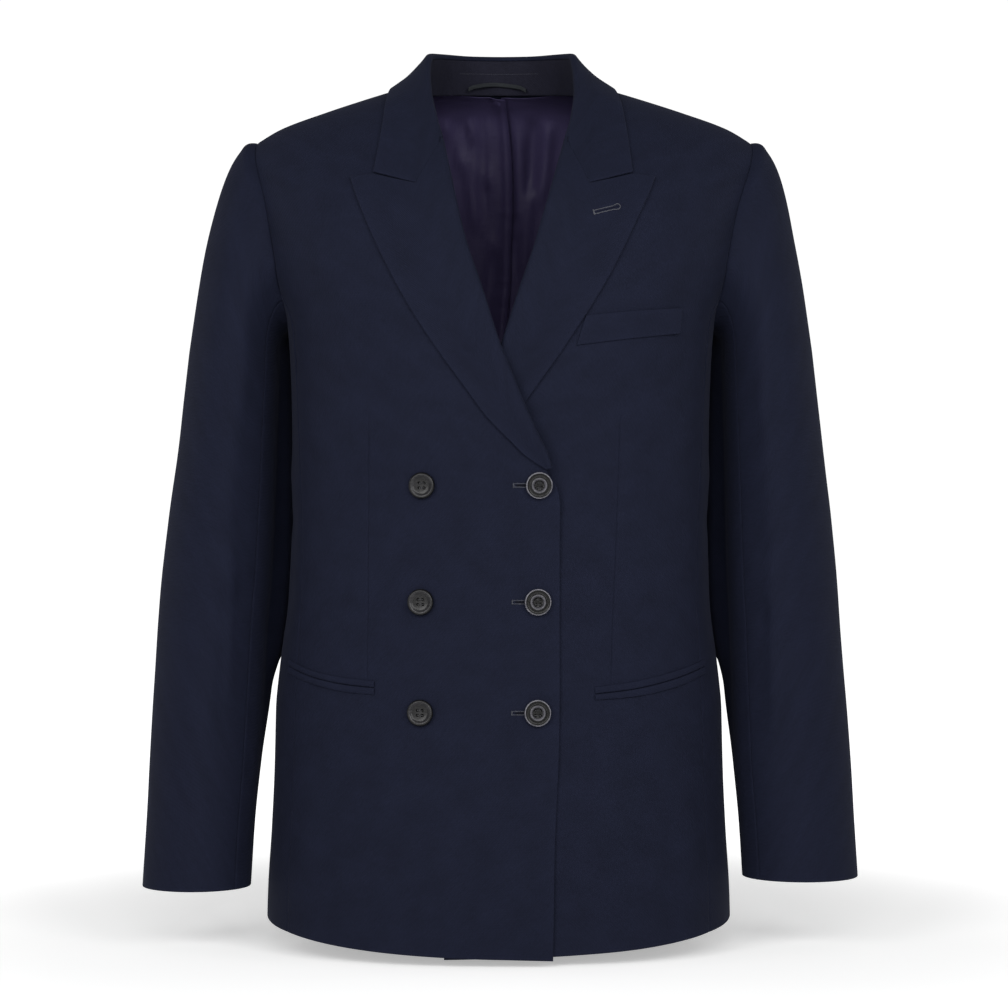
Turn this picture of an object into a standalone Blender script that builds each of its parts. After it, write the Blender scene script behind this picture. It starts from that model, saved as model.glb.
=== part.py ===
"""Double breasted blazer, filled out as if worn: each cut piece is its own closed cloth wall.

The front faces -Y, +X is the wearer's left and Z is up. The origin lies at the base of the neck.
"""

from math import asin, copysign, cos, pi, radians, sin

import bmesh
import bpy
from mathutils import Vector
from mathutils.bvhtree import BVHTree

for leftover in list(bpy.data.objects):
    bpy.data.objects.remove(leftover)

# ---- cloth and gaps (metres) ----
WALL = 0.0014
LAPEL_WALL = 0.0022
COLLAR_WALL = 0.0020
STAND_WALL = 0.0016
LINING_WALL = 0.0010
WELT_WALL = 0.0014
SEAM_GAP = 0.0003
LAYER_GAP = 0.0012
ROLL_RADIUS = 0.0023
LAPEL_HEIGHT = WALL / 2 + LAYER_GAP + LAPEL_WALL / 2
LINING_DEPTH = 0.0045

# ---- general body form ----
SQUARENESS = 2.4
SHOULDER_HALF_WIDTH = 0.235
BODY = (  # height, half width, depth in front, depth behind
    (0.030, 0.235, 0.080, 0.098),
    (0.000, 0.235, 0.083, 0.100),
    (-0.040, 0.235, 0.090, 0.103),
    (-0.096, 0.215, 0.112, 0.110),
    (-0.150, 0.197, 0.127, 0.116),
    (-0.195, 0.1835, 0.133, 0.119),
    (-0.270, 0.1815, 0.132, 0.117),
    (-0.357, 0.1815, 0.129, 0.114),
    (-0.420, 0.1835, 0.129, 0.115),
    (-0.497, 0.1878, 0.132, 0.119),
    (-0.561, 0.1900, 0.134, 0.122),
    (-0.612, 0.1921, 0.136, 0.125),
    (-0.663, 0.1945, 0.138, 0.127),
    (-0.720, 0.1955, 0.139, 0.128),
)
SHOULDER_LINE = (  # distance from the middle, height
    (0.000, 0.0260),
    (0.060, 0.0165),
    (0.080, 0.0102),
    (0.094, 0.0062),
    (0.114, 0.0002),
    (0.153, -0.0124),
    (0.188, -0.0252),
    (0.209, -0.0375),
    (0.235, -0.0560),
)
ROUNDING = (  # angle round the body, height of the shoulder rounding, its roundness
    (0, 0.120, 2.0),
    (60, 0.115, 2.0),
    (90, 0.110, 2.1),
    (120, 0.110, 2.2),
    (150, 0.095, 2.5),
    (168, 0.080, 2.8),
    (180, 0.070, 3.0),
)
LEAN = (  # height, sideways shift of the whole garment
    (0.030, 0.0000),
    (-0.030, 0.0025),
    (-0.130, 0.0000),
    (-0.300, -0.0005),
    (-0.450, -0.0020),
)

# ---- seams, as angle round the body and height ----
FRONT_SEAM = (
    (60, -0.6950),
    (60, -0.632),
    (60, -0.525),
    (61, -0.420),
    (63, -0.348),
    (65, -0.312),
    (66, -0.290),
    (68, -0.262),
    (71, -0.205),
    (74, -0.165),
)
BACK_SEAM = (
    (108, -0.6850),
    (108, -0.632),
    (107.5, -0.525),
    (107, -0.420),
    (106, -0.348),
    (106, -0.312),
    (105.5, -0.290),
    (105, -0.262),
    (104.5, -0.205),
    (104, -0.165),
)
ARMHOLE_FRONT = ((74, -0.165), (69.5, -0.148), (65.5, -0.118), (63.3, -0.088), (61.6, -0.062))
ARMHOLE_BACK = (  # angle in front of the side, mirrored behind it
    (76, -0.165),
    (69.5, -0.148),
    (65.5, -0.118),
    (63.3, -0.088),
    (62.2, -0.068),
    (61.0, -0.052),
)
CENTRE_SEAM = (-0.686, -0.632, -0.525, -0.420, -0.348, -0.312, -0.290, -0.262, -0.205, -0.150)
CENTRE_SEAM_HIGH = (-0.150, -0.100, -0.050, 0.0140)
SHOULDER_END = 0.209
UNDERARM_DIP = 0.030
NECK_POINT = 0.070

# ---- front edge and roll line of a front, as distance to its own side and height ----
FRONT_EDGE = (
    (-0.0440, -0.7096),
    (-0.0452, -0.632),
    (-0.0492, -0.525),
    (-0.0492, -0.420),
    (-0.0487, -0.348),
    (-0.0425, -0.318),
    (-0.0362, -0.298),
    (-0.0246, -0.274),
    (0.0007, -0.212),
    (0.0140, -0.1707),
)
UNDER_HEM_RISE = 0.0045
ROLL_TO_NECK = (
    (0.0140, -0.1707),
    (0.0277, -0.1305),
    (0.0418, -0.0754),
    (0.0494, -0.0444),
    (0.0635, -0.0110),
)
BACK_NECK = ((0.000, 0.0140), (0.030, 0.0135), (0.055, 0.0143))
LAPEL = (  # roll line across, roll line height, outer edge across, outer edge height
    (0.0490, -0.0460, 0.1246, -0.0757),
    (0.0418, -0.0754, 0.1211, -0.0858),
    (0.0350, -0.1030, 0.1048, -0.1235),
    (0.0277, -0.1305, 0.0890, -0.1560),
    (0.0140, -0.1707, 0.0725, -0.1855),
    (0.0007, -0.2120, 0.0520, -0.2170),
    (-0.0125, -0.2450, 0.0336, -0.2425),
    (-0.0246, -0.2740, 0.0095, -0.2750),
    (-0.0320, -0.2895, -0.0080, -0.2925),
    (-0.0365, -0.2985, -0.0190, -0.3035),
    (-0.0400, -0.3080, -0.0310, -0.3120),
    (-0.0418, -0.3140, -0.0370, -0.3155),
)
LAPEL_TOP = (  # share across, distance from the middle, height
    (0.0, 0.0490, -0.0460),
    (0.4, 0.0700, -0.0845),
    (0.75, 0.1057, -0.0750),
    (1.0, 0.1246, -0.0757),
)
UNDER_FRONT_PRESS = (  # height, how far the under front lies inside the body form
    (-0.720, 0.0028),
    (-0.400, 0.0028),
    (-0.345, 0.0050),
    (-0.312, 0.0085),
    (-0.200, 0.0085),
    (-0.120, 0.0000),
    (0.000, 0.0000),
)

# ---- collar, from the middle of the back to its front end ----
COLLAR_FOLD = (  # across, depth, height
    (0.0000, 0.0740, 0.0487),
    (0.0220, 0.0690, 0.0482),
    (0.0430, 0.0500, 0.0465),
    (0.0550, 0.0280, 0.0438),
    (0.0597, 0.0060, 0.0395),
    (0.0602, -0.0120, 0.0270),
    (0.0594, -0.0370, 0.0049),
)
COLLAR_EDGE_BACK = ((0.000, 0.0040), (0.035, 0.0040), (0.065, 0.0045), (0.084, 0.0062))
COLLAR_EDGE_SIDE = 0.0925
COLLAR_EDGE_FRONT = ((0.0975, -0.0080), (0.1005, -0.0310), (0.1057, -0.0720))
COLLAR_END = (  # share across, distance from the middle, height
    (0.0, 0.0494, -0.0430),
    (0.4, 0.0700, -0.0824),
    (1.0, 0.1057, -0.0720),
)

# ---- sleeves ----
SLEEVE_TUBE = (  # height, centre across, centre depth, half width, half depth
    (-0.215, 0.2252, 0.002, 0.0391, 0.0620),
    (-0.280, 0.2277, 0.000, 0.0437, 0.0610),
    (-0.357, 0.2320, -0.002, 0.0484, 0.0590),
    (-0.420, 0.2359, -0.006, 0.0504, 0.0570),
    (-0.497, 0.2410, -0.013, 0.0500, 0.0550),
    (-0.560, 0.2468, -0.020, 0.0477, 0.0510),
    (-0.612, 0.2504, -0.026, 0.0463, 0.0480),
    (-0.664, 0.2532, -0.032, 0.0461, 0.0450),
)
BICEPS_HEIGHT = -0.215
CUFF_HEIGHT = {-1: -0.6625, 1: -0.6545}
CUFF_FULLNESS = {-1: -0.0015, 1: 0.0015}
FORE_SEAM_ANGLE = 140
HIND_SEAM_ANGLE = 240
HUG_BREADTH = 0.006
HUG_CLEARANCE = 0.0036
HUG_SQUARENESS = 3.4

# ---- pockets: distance from the middle, height ----
CHEST_WELT = ((0.0622, -0.2150), (0.1452, -0.2040), (0.1480, -0.1829), (0.0700, -0.1905))
HIP_POCKET = {  # across, height of the upper edge, mouth and lower edge
    -1: (
        (0.1000, -0.4860, -0.4915, -0.4972),
        (0.1240, -0.4842, -0.4895, -0.4955),
        (0.1500, -0.4800, -0.4850, -0.4905),
        (0.1740, -0.4720, -0.4770, -0.4830),
    ),
    1: (
        (0.0780, -0.4905, -0.4962, -0.5010),
        (0.1080, -0.4870, -0.4930, -0.4990),
        (0.1420, -0.4800, -0.4860, -0.4930),
        (0.1700, -0.4715, -0.4770, -0.4830),
    ),
}

# ---- buttons: distance from the middle, height ----
BUTTON_RADIUS = 0.01075
BUTTON_ROWS = (-0.328, -0.422, -0.511)
FASTENED_COLUMN = 0.0314
SHOW_COLUMN = -0.0625
SHOW_PROFILE = (  # radius, height over the cloth
    (0.0000, 0.0000),
    (0.0092, 0.0000),
    (0.0104, 0.0008),
    (0.01075, 0.0020),
    (0.0100, 0.0034),
    (0.0086, 0.0038),
    (0.0072, 0.0033),
    (0.0055, 0.0029),
    (0.0000, 0.0027),
)
FASTENED_PROFILE = (
    (0.0000, 0.0000),
    (0.0094, 0.0000),
    (0.01075, 0.0012),
    (0.0106, 0.0026),
    (0.0094, 0.0031),
    (0.0080, 0.0027),
    (0.0066, 0.0034),
    (0.0054, 0.0035),
    (0.0046, 0.0022),
    (0.0000, 0.0020),
)
BUTTON_LIFT = 0.0012

# ---- hanger loop inside the back of the collar ----
LOOP = (  # across, height
    (-0.0290, 0.0172),
    (-0.0240, 0.0200),
    (-0.0045, 0.0235),
    (0.0150, 0.0205),
    (0.0209, 0.0172),
)
LOOP_WIDTH = 0.0036
LOOP_THICKNESS = 0.0014


# ---------------------------------------------------------------- smooth lines through tables
def slope(rows, k, column):
    """Slope of one column at row k that never overshoots its neighbours."""
    def rise(i):
        return (rows[i + 1][column] - rows[i][column]) / (rows[i + 1][0] - rows[i][0])

    if k == 0:
        return rise(0)
    if k == len(rows) - 1:
        return rise(k - 1)
    before, after = rise(k - 1), rise(k)
    return 2 * before * after / (before + after) if before * after > 0 else 0.0


def reading(table, at):
    """Columns of a table at one place of its first column, on a smooth line."""
    rows = table if table[0][0] < table[-1][0] else table[::-1]
    at = min(max(at, rows[0][0]), rows[-1][0])
    i = 0
    while i < len(rows) - 2 and at > rows[i + 1][0]:
        i += 1
    step = rows[i + 1][0] - rows[i][0]
    t = (at - rows[i][0]) / step
    weights = (2 * t**3 - 3 * t**2 + 1, 3 * t**2 - 2 * t**3, t**3 - 2 * t**2 + t, t**3 - t**2)
    return [
        weights[0] * rows[i][k]
        + weights[1] * rows[i + 1][k]
        + weights[2] * step * slope(rows, i, k)
        + weights[3] * step * slope(rows, i + 1, k)
        for k in range(1, len(rows[0]))
    ]


def by_length(points):
    """A table whose first column is the share of length along a line of points."""
    run = [0.0]
    for a, b in zip(points, points[1:]):
        run.append(run[-1] + (Vector(b) - Vector(a)).length)
    return [(r / run[-1], *p) for r, p in zip(run, points)]


def by_row(rows):
    """A table whose first column is the share of the rows passed."""
    return [(i / (len(rows) - 1), *row) for i, row in enumerate(rows)]


def smooth(t):
    t = min(max(t, 0.0), 1.0)
    return t * t * (3 - 2 * t)


# ---------------------------------------------------------------- the body form
def form(angle, drop):
    """Point of the body form at an angle round it and a measure of drop below the shoulder."""
    turn = radians(angle)
    across = copysign(abs(sin(turn)) ** (2 / SQUARENESS), turn)
    deep = abs(cos(turn)) ** (2 / SQUARENESS)
    top = reading(SHOULDER_LINE, SHOULDER_HALF_WIDTH * abs(across))[0]
    height, power = reading(ROUNDING, abs(angle))
    drop = max(drop, 0.0)
    share = drop**power if drop < 1 else 1 + power * (drop - 1)
    fullness = (1 - max(0.0, 1 - share) ** power) ** (1 / power)
    z = top - height * share
    half, front, back = reading(BODY, z)
    return Vector((half * across, (back if abs(angle) > 90 else -front) * deep * fullness, z))


def drop_at(angle, z):
    """Measure of drop that reaches height z at an angle round the body."""
    across = abs(sin(radians(angle))) ** (2 / SQUARENESS)
    top = reading(SHOULDER_LINE, SHOULDER_HALF_WIDTH * across)[0]
    height, power = reading(ROUNDING, abs(angle))
    share = max(0.0, (top - z) / height)
    return share ** (1 / power) if share < 1 else 1 + (share - 1) / power


def place(x, z, behind=False):
    """Angle and drop of a place given by its distance from the middle and its height."""
    share = min(1.0, abs(x) / reading(BODY, z)[0])
    angle = 180 * asin(share ** (SQUARENESS / 2)) / pi
    angle = 180 - angle if behind else copysign(angle, x)
    return angle, drop_at(angle, z)


def ridge(x, behind=False):
    """Angle and drop of a place on the shoulder line."""
    angle = 180 * asin((x / SHOULDER_HALF_WIDTH) ** (SQUARENESS / 2)) / pi
    return 180 - angle if behind else angle, 0.002


def across_of(surface, u, v, step=0.001):
    """Unit normal of a surface, from its own slopes."""
    along = surface(u + step, v) - surface(u - step, v)
    over = surface(u, v + step) - surface(u, v - step)
    return along.cross(over).normalized()


def form_normal(angle, drop):
    return -across_of(form, angle, max(drop, 0.002), 0.0015)


def press(x, z):
    """How far the under front lies inside the form, next to the middle of the front."""
    return reading(UNDER_FRONT_PRESS, z)[0] * (1 - smooth((x - 0.050) / 0.070))


def on_front(side, x, z, out):
    """Point at a height over a front, which on the left side is the pressed under front."""
    angle, drop = place(x, z)
    lift = out - press(x, z) if side > 0 else out
    point = form(angle, drop) + form_normal(angle, drop) * lift
    return Vector((side * point.x, point.y, point.z))


# ---------------------------------------------------------------- closed cloth walls
MATERIALS = {}


def material(name, colour, roughness):
    if name not in MATERIALS:
        made = bpy.data.materials.new(name)
        made.use_nodes = True
        shader = made.node_tree.nodes["Principled BSDF"]
        shader.inputs["Base Color"].default_value = (*colour, 1.0)
        shader.inputs["Roughness"].default_value = roughness
        shader.inputs["Metallic"].default_value = 0.0
        MATERIALS[name] = made
    return MATERIALS[name]


WOOL = ("navy_wool", (0.0137, 0.0160, 0.0291), 0.9)
SATIN = ("navy_lining", (0.0250, 0.0222, 0.0466), 0.4)
HORN = ("dark_button", (0.0180, 0.0180, 0.0210), 0.35)
TAPE = ("navy_tape", (0.0120, 0.0130, 0.0220), 0.85)


def leaned(point):
    return Vector((point.x + reading(LEAN, point.z)[0], point.y, point.z))


def add_object(name, points, faces, look):
    mesh = bpy.data.meshes.new(name)
    mesh.from_pydata([leaned(p) for p in points], [], faces)
    shaped = bmesh.new()
    shaped.from_mesh(mesh)
    bmesh.ops.recalc_face_normals(shaped, faces=shaped.faces)
    bmesh.ops.triangulate(shaped, faces=shaped.faces)
    if shaped.calc_volume(signed=True) < 0:
        bmesh.ops.reverse_faces(shaped, faces=shaped.faces)
    shaped.to_mesh(mesh)
    shaped.free()
    thing = bpy.data.objects.new(name, mesh)
    thing.data.materials.append(material(*look))
    bpy.context.scene.collection.objects.link(thing)
    return thing


def cloth(name, surface, us, vs, wall, look):
    """Closed wall round a surface given as a function of two shares."""
    points, rows, cols = [], len(us), len(vs)
    for side in (0.5, -0.5):
        for u in us:
            for v in vs:
                points.append(surface(u, v) + across_of(surface, u, v) * wall * side)

    def at(layer, i, j):
        return layer * rows * cols + i * cols + j

    faces = []
    for i in range(rows - 1):
        for j in range(cols - 1):
            faces.append((at(0, i, j), at(0, i, j + 1), at(0, i + 1, j + 1), at(0, i + 1, j)))
            faces.append((at(1, i, j), at(1, i + 1, j), at(1, i + 1, j + 1), at(1, i, j + 1)))
    rim = [(i, 0) for i in range(rows)] + [(rows - 1, j) for j in range(1, cols)]
    rim += [(i, cols - 1) for i in range(rows - 2, -1, -1)] + [(0, j) for j in range(cols - 2, 0, -1)]
    for a, b in zip(rim, rim[1:] + rim[:1]):
        faces.append((at(0, *a), at(1, *a), at(1, *b), at(0, *b)))
    return add_object(name, points, faces, look)


def shares(count, start=0.0, end=1.0):
    return [start + (end - start) * i / count for i in range(count + 1)]


# ---------------------------------------------------------------- panels cut on the body form
def seam_rows(inner, outer):
    return by_row([(*a, *b) for a, b in zip(inner, outer)])


def panel_surface(
    stages, side, dip=0.0, inner_gap=None, outer_gap=SEAM_GAP / 2, depth=None, to_shoulder=True
):
    """Surface between two seams; stages are tables of (angle, drop) at both seams."""
    def surface(u, v):
        u = min(max(u, 0.0), len(stages) - 1e-9)
        angle_a, drop_a, angle_b, drop_b = reading(stages[int(u)], u - int(u))
        start, end = form(angle_a, drop_a), form(angle_b, drop_b)
        width = (end - start).length
        first = (inner_gap(u) if inner_gap else SEAM_GAP / 2) / width
        last = outer_gap / width
        v = first + v * (1 - first - last)
        angle = angle_a + (angle_b - angle_a) * v
        z = start.z + (end.z - start.z) * v
        if dip:
            z -= dip * smooth(1.25 * u - 0.25) * 4 * v * (1 - v)
        drop = drop_at(angle, z)
        if to_shoulder:
            near = smooth(u - len(stages) + 1)
            drop += (drop_a + (drop_b - drop_a) * v - drop) * near
        point = form(angle, drop)
        if depth:
            point -= form_normal(angle, drop) * depth(point.x, point.z)
        return Vector((side * point.x, point.y, point.z))

    return surface


def seam(points, behind=False):
    return [(180 - a if behind else a, drop_at(180 - a if behind else a, z)) for a, z in points]


def front_low(side):
    """Seam rows of a front below the armhole; the under front's hem is cut a little shorter."""
    edge = [(x, z) for x, z in FRONT_EDGE]
    if side > 0:
        edge[0] = (edge[0][0], edge[0][1] + UNDER_HEM_RISE)
    return seam_rows([place(x, z) for x, z in edge], seam(FRONT_SEAM))


FRONT_HIGH = seam_rows(
    [place(x, z) for x, z in ROLL_TO_NECK] + [ridge(NECK_POINT)],
    seam(ARMHOLE_FRONT) + [ridge(SHOULDER_END)],
)
BACK_LOW = seam_rows([place(0.0, z, True) for z in CENTRE_SEAM], seam(BACK_SEAM))
BACK_MID = seam_rows(
    [place(0.0, z, True) for z in CENTRE_SEAM_HIGH],
    seam(ARMHOLE_BACK, True)[:4],
)
BACK_HIGH = seam_rows(
    [place(x, z, True) for x, z in BACK_NECK] + [ridge(NECK_POINT, True)],
    seam(ARMHOLE_BACK, True)[3:] + [ridge(SHOULDER_END, True)],
)
SIDE_ROWS = seam_rows(seam(FRONT_SEAM), seam(BACK_SEAM))


def front_gap(u):
    """Room left for the rolled edge where the lapel turns back."""
    rolled = smooth((u - 0.50) / 0.06) * (1 - smooth((u - 1.60) / 0.30))
    return SEAM_GAP / 2 + rolled * (ROLL_RADIUS + LAPEL_WALL / 2 + SEAM_GAP)


for side, word in ((-1, "right"), (1, "left")):
    under = press if side > 0 else None
    stages = [front_low(side), FRONT_HIGH]
    front = panel_surface(stages, side, inner_gap=front_gap, depth=under)
    steps = shares(13) + shares(8, 1.0, 2.0)[1:]
    cloth(f"forepart_{word}", front, steps, shares(8), WALL, WOOL)
    cloth(
        f"side_panel_{word}",
        panel_surface([SIDE_ROWS], side, dip=UNDERARM_DIP, to_shoulder=False),
        shares(13),
        shares(4),
        WALL,
        WOOL,
    )
    back = panel_surface([BACK_LOW, BACK_MID, BACK_HIGH], side)
    steps = shares(13) + shares(3, 1.0, 2.0)[1:] + shares(5, 2.0, 3.0)[1:]
    cloth(f"back_{word}", back, steps, shares(8), WALL, WOOL)
    inner = panel_surface(
        [BACK_LOW, BACK_MID, BACK_HIGH],
        side,
        inner_gap=lambda u: 2 * SEAM_GAP,
        outer_gap=0.004,
        depth=lambda x, z: LINING_DEPTH,
    )
    steps = shares(7, 0.03, 1.0) + shares(2, 1.0, 2.0)[1:] + shares(3, 2.0, 2.96)[1:]
    cloth(f"lining_back_{word}", inner, steps, shares(6), LINING_WALL, SATIN)


# ---------------------------------------------------------------- lapels
def outward(at_roll, at_edge, at_next):
    """Direction in the form, square to the roll line, towards the lapel's outer edge."""
    line = (at_next - at_roll).normalized()
    reach = at_edge - at_roll
    return (reach - line * reach.dot(line)).normalized()


def lapel_surface(side):
    table = by_row(LAPEL)

    def surface(u, v):
        u = min(max(u, 0.0), 1.0)
        roll_x, roll_z, edge_x, edge_z = reading(table, u)
        pull = press if side > 0 else (lambda x, z: 0.0)
        root = place(roll_x, roll_z)
        tip = form(*place(edge_x, edge_z))
        near = u + 0.01 if u < 0.9 else u - 0.01
        along = form(*place(*reading(table, near)[:2]))
        start = form(*root)
        reach = outward(start, tip, along)
        width = (tip - start).length
        radius = ROLL_RADIUS * min(1.0, 0.6 + width / 0.060)
        up = form_normal(*root)
        turn_room = (radius + LAPEL_WALL / 2) / width
        if v < 1:
            turn = pi * v
            point = start + reach * (turn_room * width - radius * sin(turn)) + up * (radius - radius * cos(turn))
            point -= up * pull(start.x, start.z)
        else:
            share = turn_room + (v - 1) * (1 - turn_room)
            x, z = roll_x + (edge_x - roll_x) * share, roll_z + (edge_z - roll_z) * share
            top = reading(LAPEL_TOP, share)
            fade = (1 - u) ** 8
            x += (top[0] - (LAPEL[0][0] + (LAPEL[0][2] - LAPEL[0][0]) * share)) * fade
            z += (top[1] - (LAPEL[0][1] + (LAPEL[0][3] - LAPEL[0][1]) * share)) * fade
            spot = place(x, z)
            sink = smooth((v - 1) / 0.6)
            height = 2 * radius * (1 - sink) + LAPEL_HEIGHT * sink
            point = form(*spot) + form_normal(*spot) * (height - pull(x, z))
        return Vector((side * point.x, point.y, point.z))

    return surface


for side, word in ((-1, "right"), (1, "left")):
    cloth(
        f"lapel_{word}",
        lapel_surface(side),
        [0.0, 0.035, 0.09] + shares(10, 0.18, 1.0),
        shares(4) + [1.18, 1.37, 1.6, 1.8, 2.0],
        LAPEL_WALL,
        WOOL,
    )


# ---------------------------------------------------------------- collar
def body_tree():
    """Nearest-point search over the body form, shoulders and neck."""
    angles = [i * 3 for i in range(61)]
    drops = [0.0, 0.05, 0.1, 0.2, 0.3, 0.4, 0.5, 0.6, 0.7, 0.8, 0.9, 1.0, 1.1, 1.2, 1.3]
    points = [form(a, d) for a in angles for d in drops]
    n = len(drops)
    faces = [
        (i * n + j, i * n + j + 1, (i + 1) * n + j + 1, (i + 1) * n + j)
        for i in range(len(angles) - 1)
        for j in range(n - 1)
    ]
    return BVHTree.FromPolygons(points, faces)


NEAREST = body_tree()
COLLAR_HEIGHT = WALL / 2 + LAYER_GAP + COLLAR_WALL / 2


def clear_of_body(point, clearance):
    """The point moved out until it lies at least a clearance over the body form."""
    spot, facing, _, _ = NEAREST.find_nearest(point)
    outside = spot - Vector((0.0, 0.0, -0.12))
    facing = facing if facing.dot(outside) > 0 else -facing
    height = (point - spot).dot(facing)
    return point if height >= clearance else point + facing * (clearance - height)


def over(spot, out):
    return form(*spot) + form_normal(*spot) * out


NECK = by_length(
    [form(*place(x, z, True)) for x, z in BACK_NECK]
    + [form(*ridge(NECK_POINT))]
    + [form(*place(*p)) for p in ((0.0680, 0.0040), (0.0635, -0.0110), (0.0530, -0.0440))]
)
FOLD = by_length(
    [Vector(p) for p in COLLAR_FOLD]
    + [over(place(x, z), ROLL_RADIUS) for x, z in ((0.0546, -0.0247), (0.0497, -0.0425))]
)
EDGE = by_length(
    [over(place(x, z, True), COLLAR_HEIGHT) for x, z in COLLAR_EDGE_BACK]
    + [over(ridge(COLLAR_EDGE_SIDE), COLLAR_HEIGHT)]
    + [over(place(x, z), COLLAR_HEIGHT) for x, z in COLLAR_EDGE_FRONT]
)


def collar_frame(s):
    """Fold, edge and neck points with the directions down the collar and out from the neck."""
    fold, edge, neck = (Vector(reading(t, s)) for t in (FOLD, EDGE, NECK))
    ahead = Vector(reading(FOLD, min(s + 0.01, 1.0))) - Vector(reading(FOLD, max(s - 0.01, 0.0)))
    ahead.normalize()
    down = (edge - fold).normalized() + (neck - fold) * 14
    down -= ahead * down.dot(ahead)
    down.normalize()
    out = ahead.cross(down)
    return fold, edge, neck, down, out


def collar_surface(u, v):
    """Falling leaf of the collar: rolled over the fold (v below 1), then down to its edge."""
    s = min(abs(u), 1.0)
    side = -1 if u < 0 else 1
    fold, edge, _, down, out = collar_frame(s)
    room = ROLL_RADIUS + COLLAR_WALL / 2
    middle = fold + down * room
    if v < 1:
        turn = pi * v
        point = middle - out * ROLL_RADIUS * cos(turn) - down * ROLL_RADIUS * sin(turn)
    else:
        t = v - 1
        start = middle + out * ROLL_RADIUS
        reach = (edge - start).length
        away = (edge - start).normalized()
        second = start + (down * 0.6 + away * 0.4) * reach * 0.25
        third = edge - (away * 0.95 - out * 0.10) * reach * 0.33
        point = (
            start * (1 - t) ** 3 + second * 3 * t * (1 - t) ** 2 + third * 3 * t * t * (1 - t) + edge * t**3
        )
        fade = max(0.0, (s - 0.80) / 0.20) ** 2
        if fade > 0:
            taken = room / (edge - fold).length
            x, z = reading(COLLAR_END, taken + t * (1 - taken))
            sink = smooth(t / 0.6)
            wanted = over(place(x, z), 2 * ROLL_RADIUS * (1 - sink) + COLLAR_HEIGHT * sink)
            point = point.lerp(wanted, fade)
        point = clear_of_body(point, COLLAR_HEIGHT)
    return Vector((side * point.x, point.y, point.z))


def stand_surface(u, v):
    """Stand of the collar: from the neck seam up to just under the fold."""
    s = min(abs(u), 1.0)
    side = -1 if u < 0 else 1
    fold, _, neck, down, out = collar_frame(s)
    top = fold + down * (ROLL_RADIUS + COLLAR_WALL / 2 + 6 * SEAM_GAP) - out * ROLL_RADIUS
    inward = Vector((-neck.x, -neck.y, 0.0)).normalized()
    foot = neck + (top - neck).normalized() * 0.0024 + inward * 0.0008
    point = foot.lerp(top, v)
    return Vector((side * point.x, point.y, point.z))


cloth(
    "collar_leaf",
    collar_surface,
    shares(24, -1.0, 1.0),
    shares(4) + [1.18, 1.37, 1.6, 1.8, 2.0],
    COLLAR_WALL,
    WOOL,
)
cloth("collar_stand", stand_surface, shares(22, -0.70, 0.70), shares(3), STAND_WALL, TAPE)


def loop_surface(u, v):
    x, z = reading(by_length(LOOP), min(max(u, 0.0), 1.0))
    z += (v - 0.5) * LOOP_WIDTH
    s = abs(x) / 0.145
    low, high = stand_surface(s, 0.0), stand_surface(s, 1.0)
    y = low.y + (high.y - low.y) * (z - low.z) / (high.z - low.z)
    return Vector((x, y - STAND_WALL / 2 - LOOP_THICKNESS / 2 - 0.0008, z))


cloth("hanger_loop", loop_surface, shares(10), shares(1), LOOP_THICKNESS, TAPE)


# ---------------------------------------------------------------- sleeves
def armhole_ring():
    """Armhole from the shoulder down the front, under the arm and up the back, by length."""
    low = panel_surface([SIDE_ROWS], 1, dip=UNDERARM_DIP, to_shoulder=False)
    front = [(FRONT_HIGH, 1.0 - t, 2) for t in shares(24)]
    spots = []
    for table, t, column in front:
        row = reading(table, t)
        spots.append((row[column], row[column + 1]))
    for t in shares(16)[1:-1]:
        point = low(1.0, t)
        angle = 74 + (104 - 74) * t
        spots.append((angle, drop_at(angle, point.z)))
    for table, steps in ((BACK_MID, 12), (BACK_HIGH, 12)):
        for t in shares(steps)[(0 if table is BACK_MID else 1):]:
            row = reading(table, t)
            spots.append((row[2], row[3]))
    return by_length([over(spot, WALL + 0.0008) + Vector((0.0006, 0.0, 0.0)) for spot in spots])


ARMHOLE = armhole_ring()


def body_side(y, z):
    """Half width of the body form at a depth and height, below the shoulder rounding."""
    half, front, back = reading(BODY, z)
    share = min(1.0, abs(y) / (back if y > 0 else front))
    return half * (1 - share**SQUARENESS) ** (1 / SQUARENESS)


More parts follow.
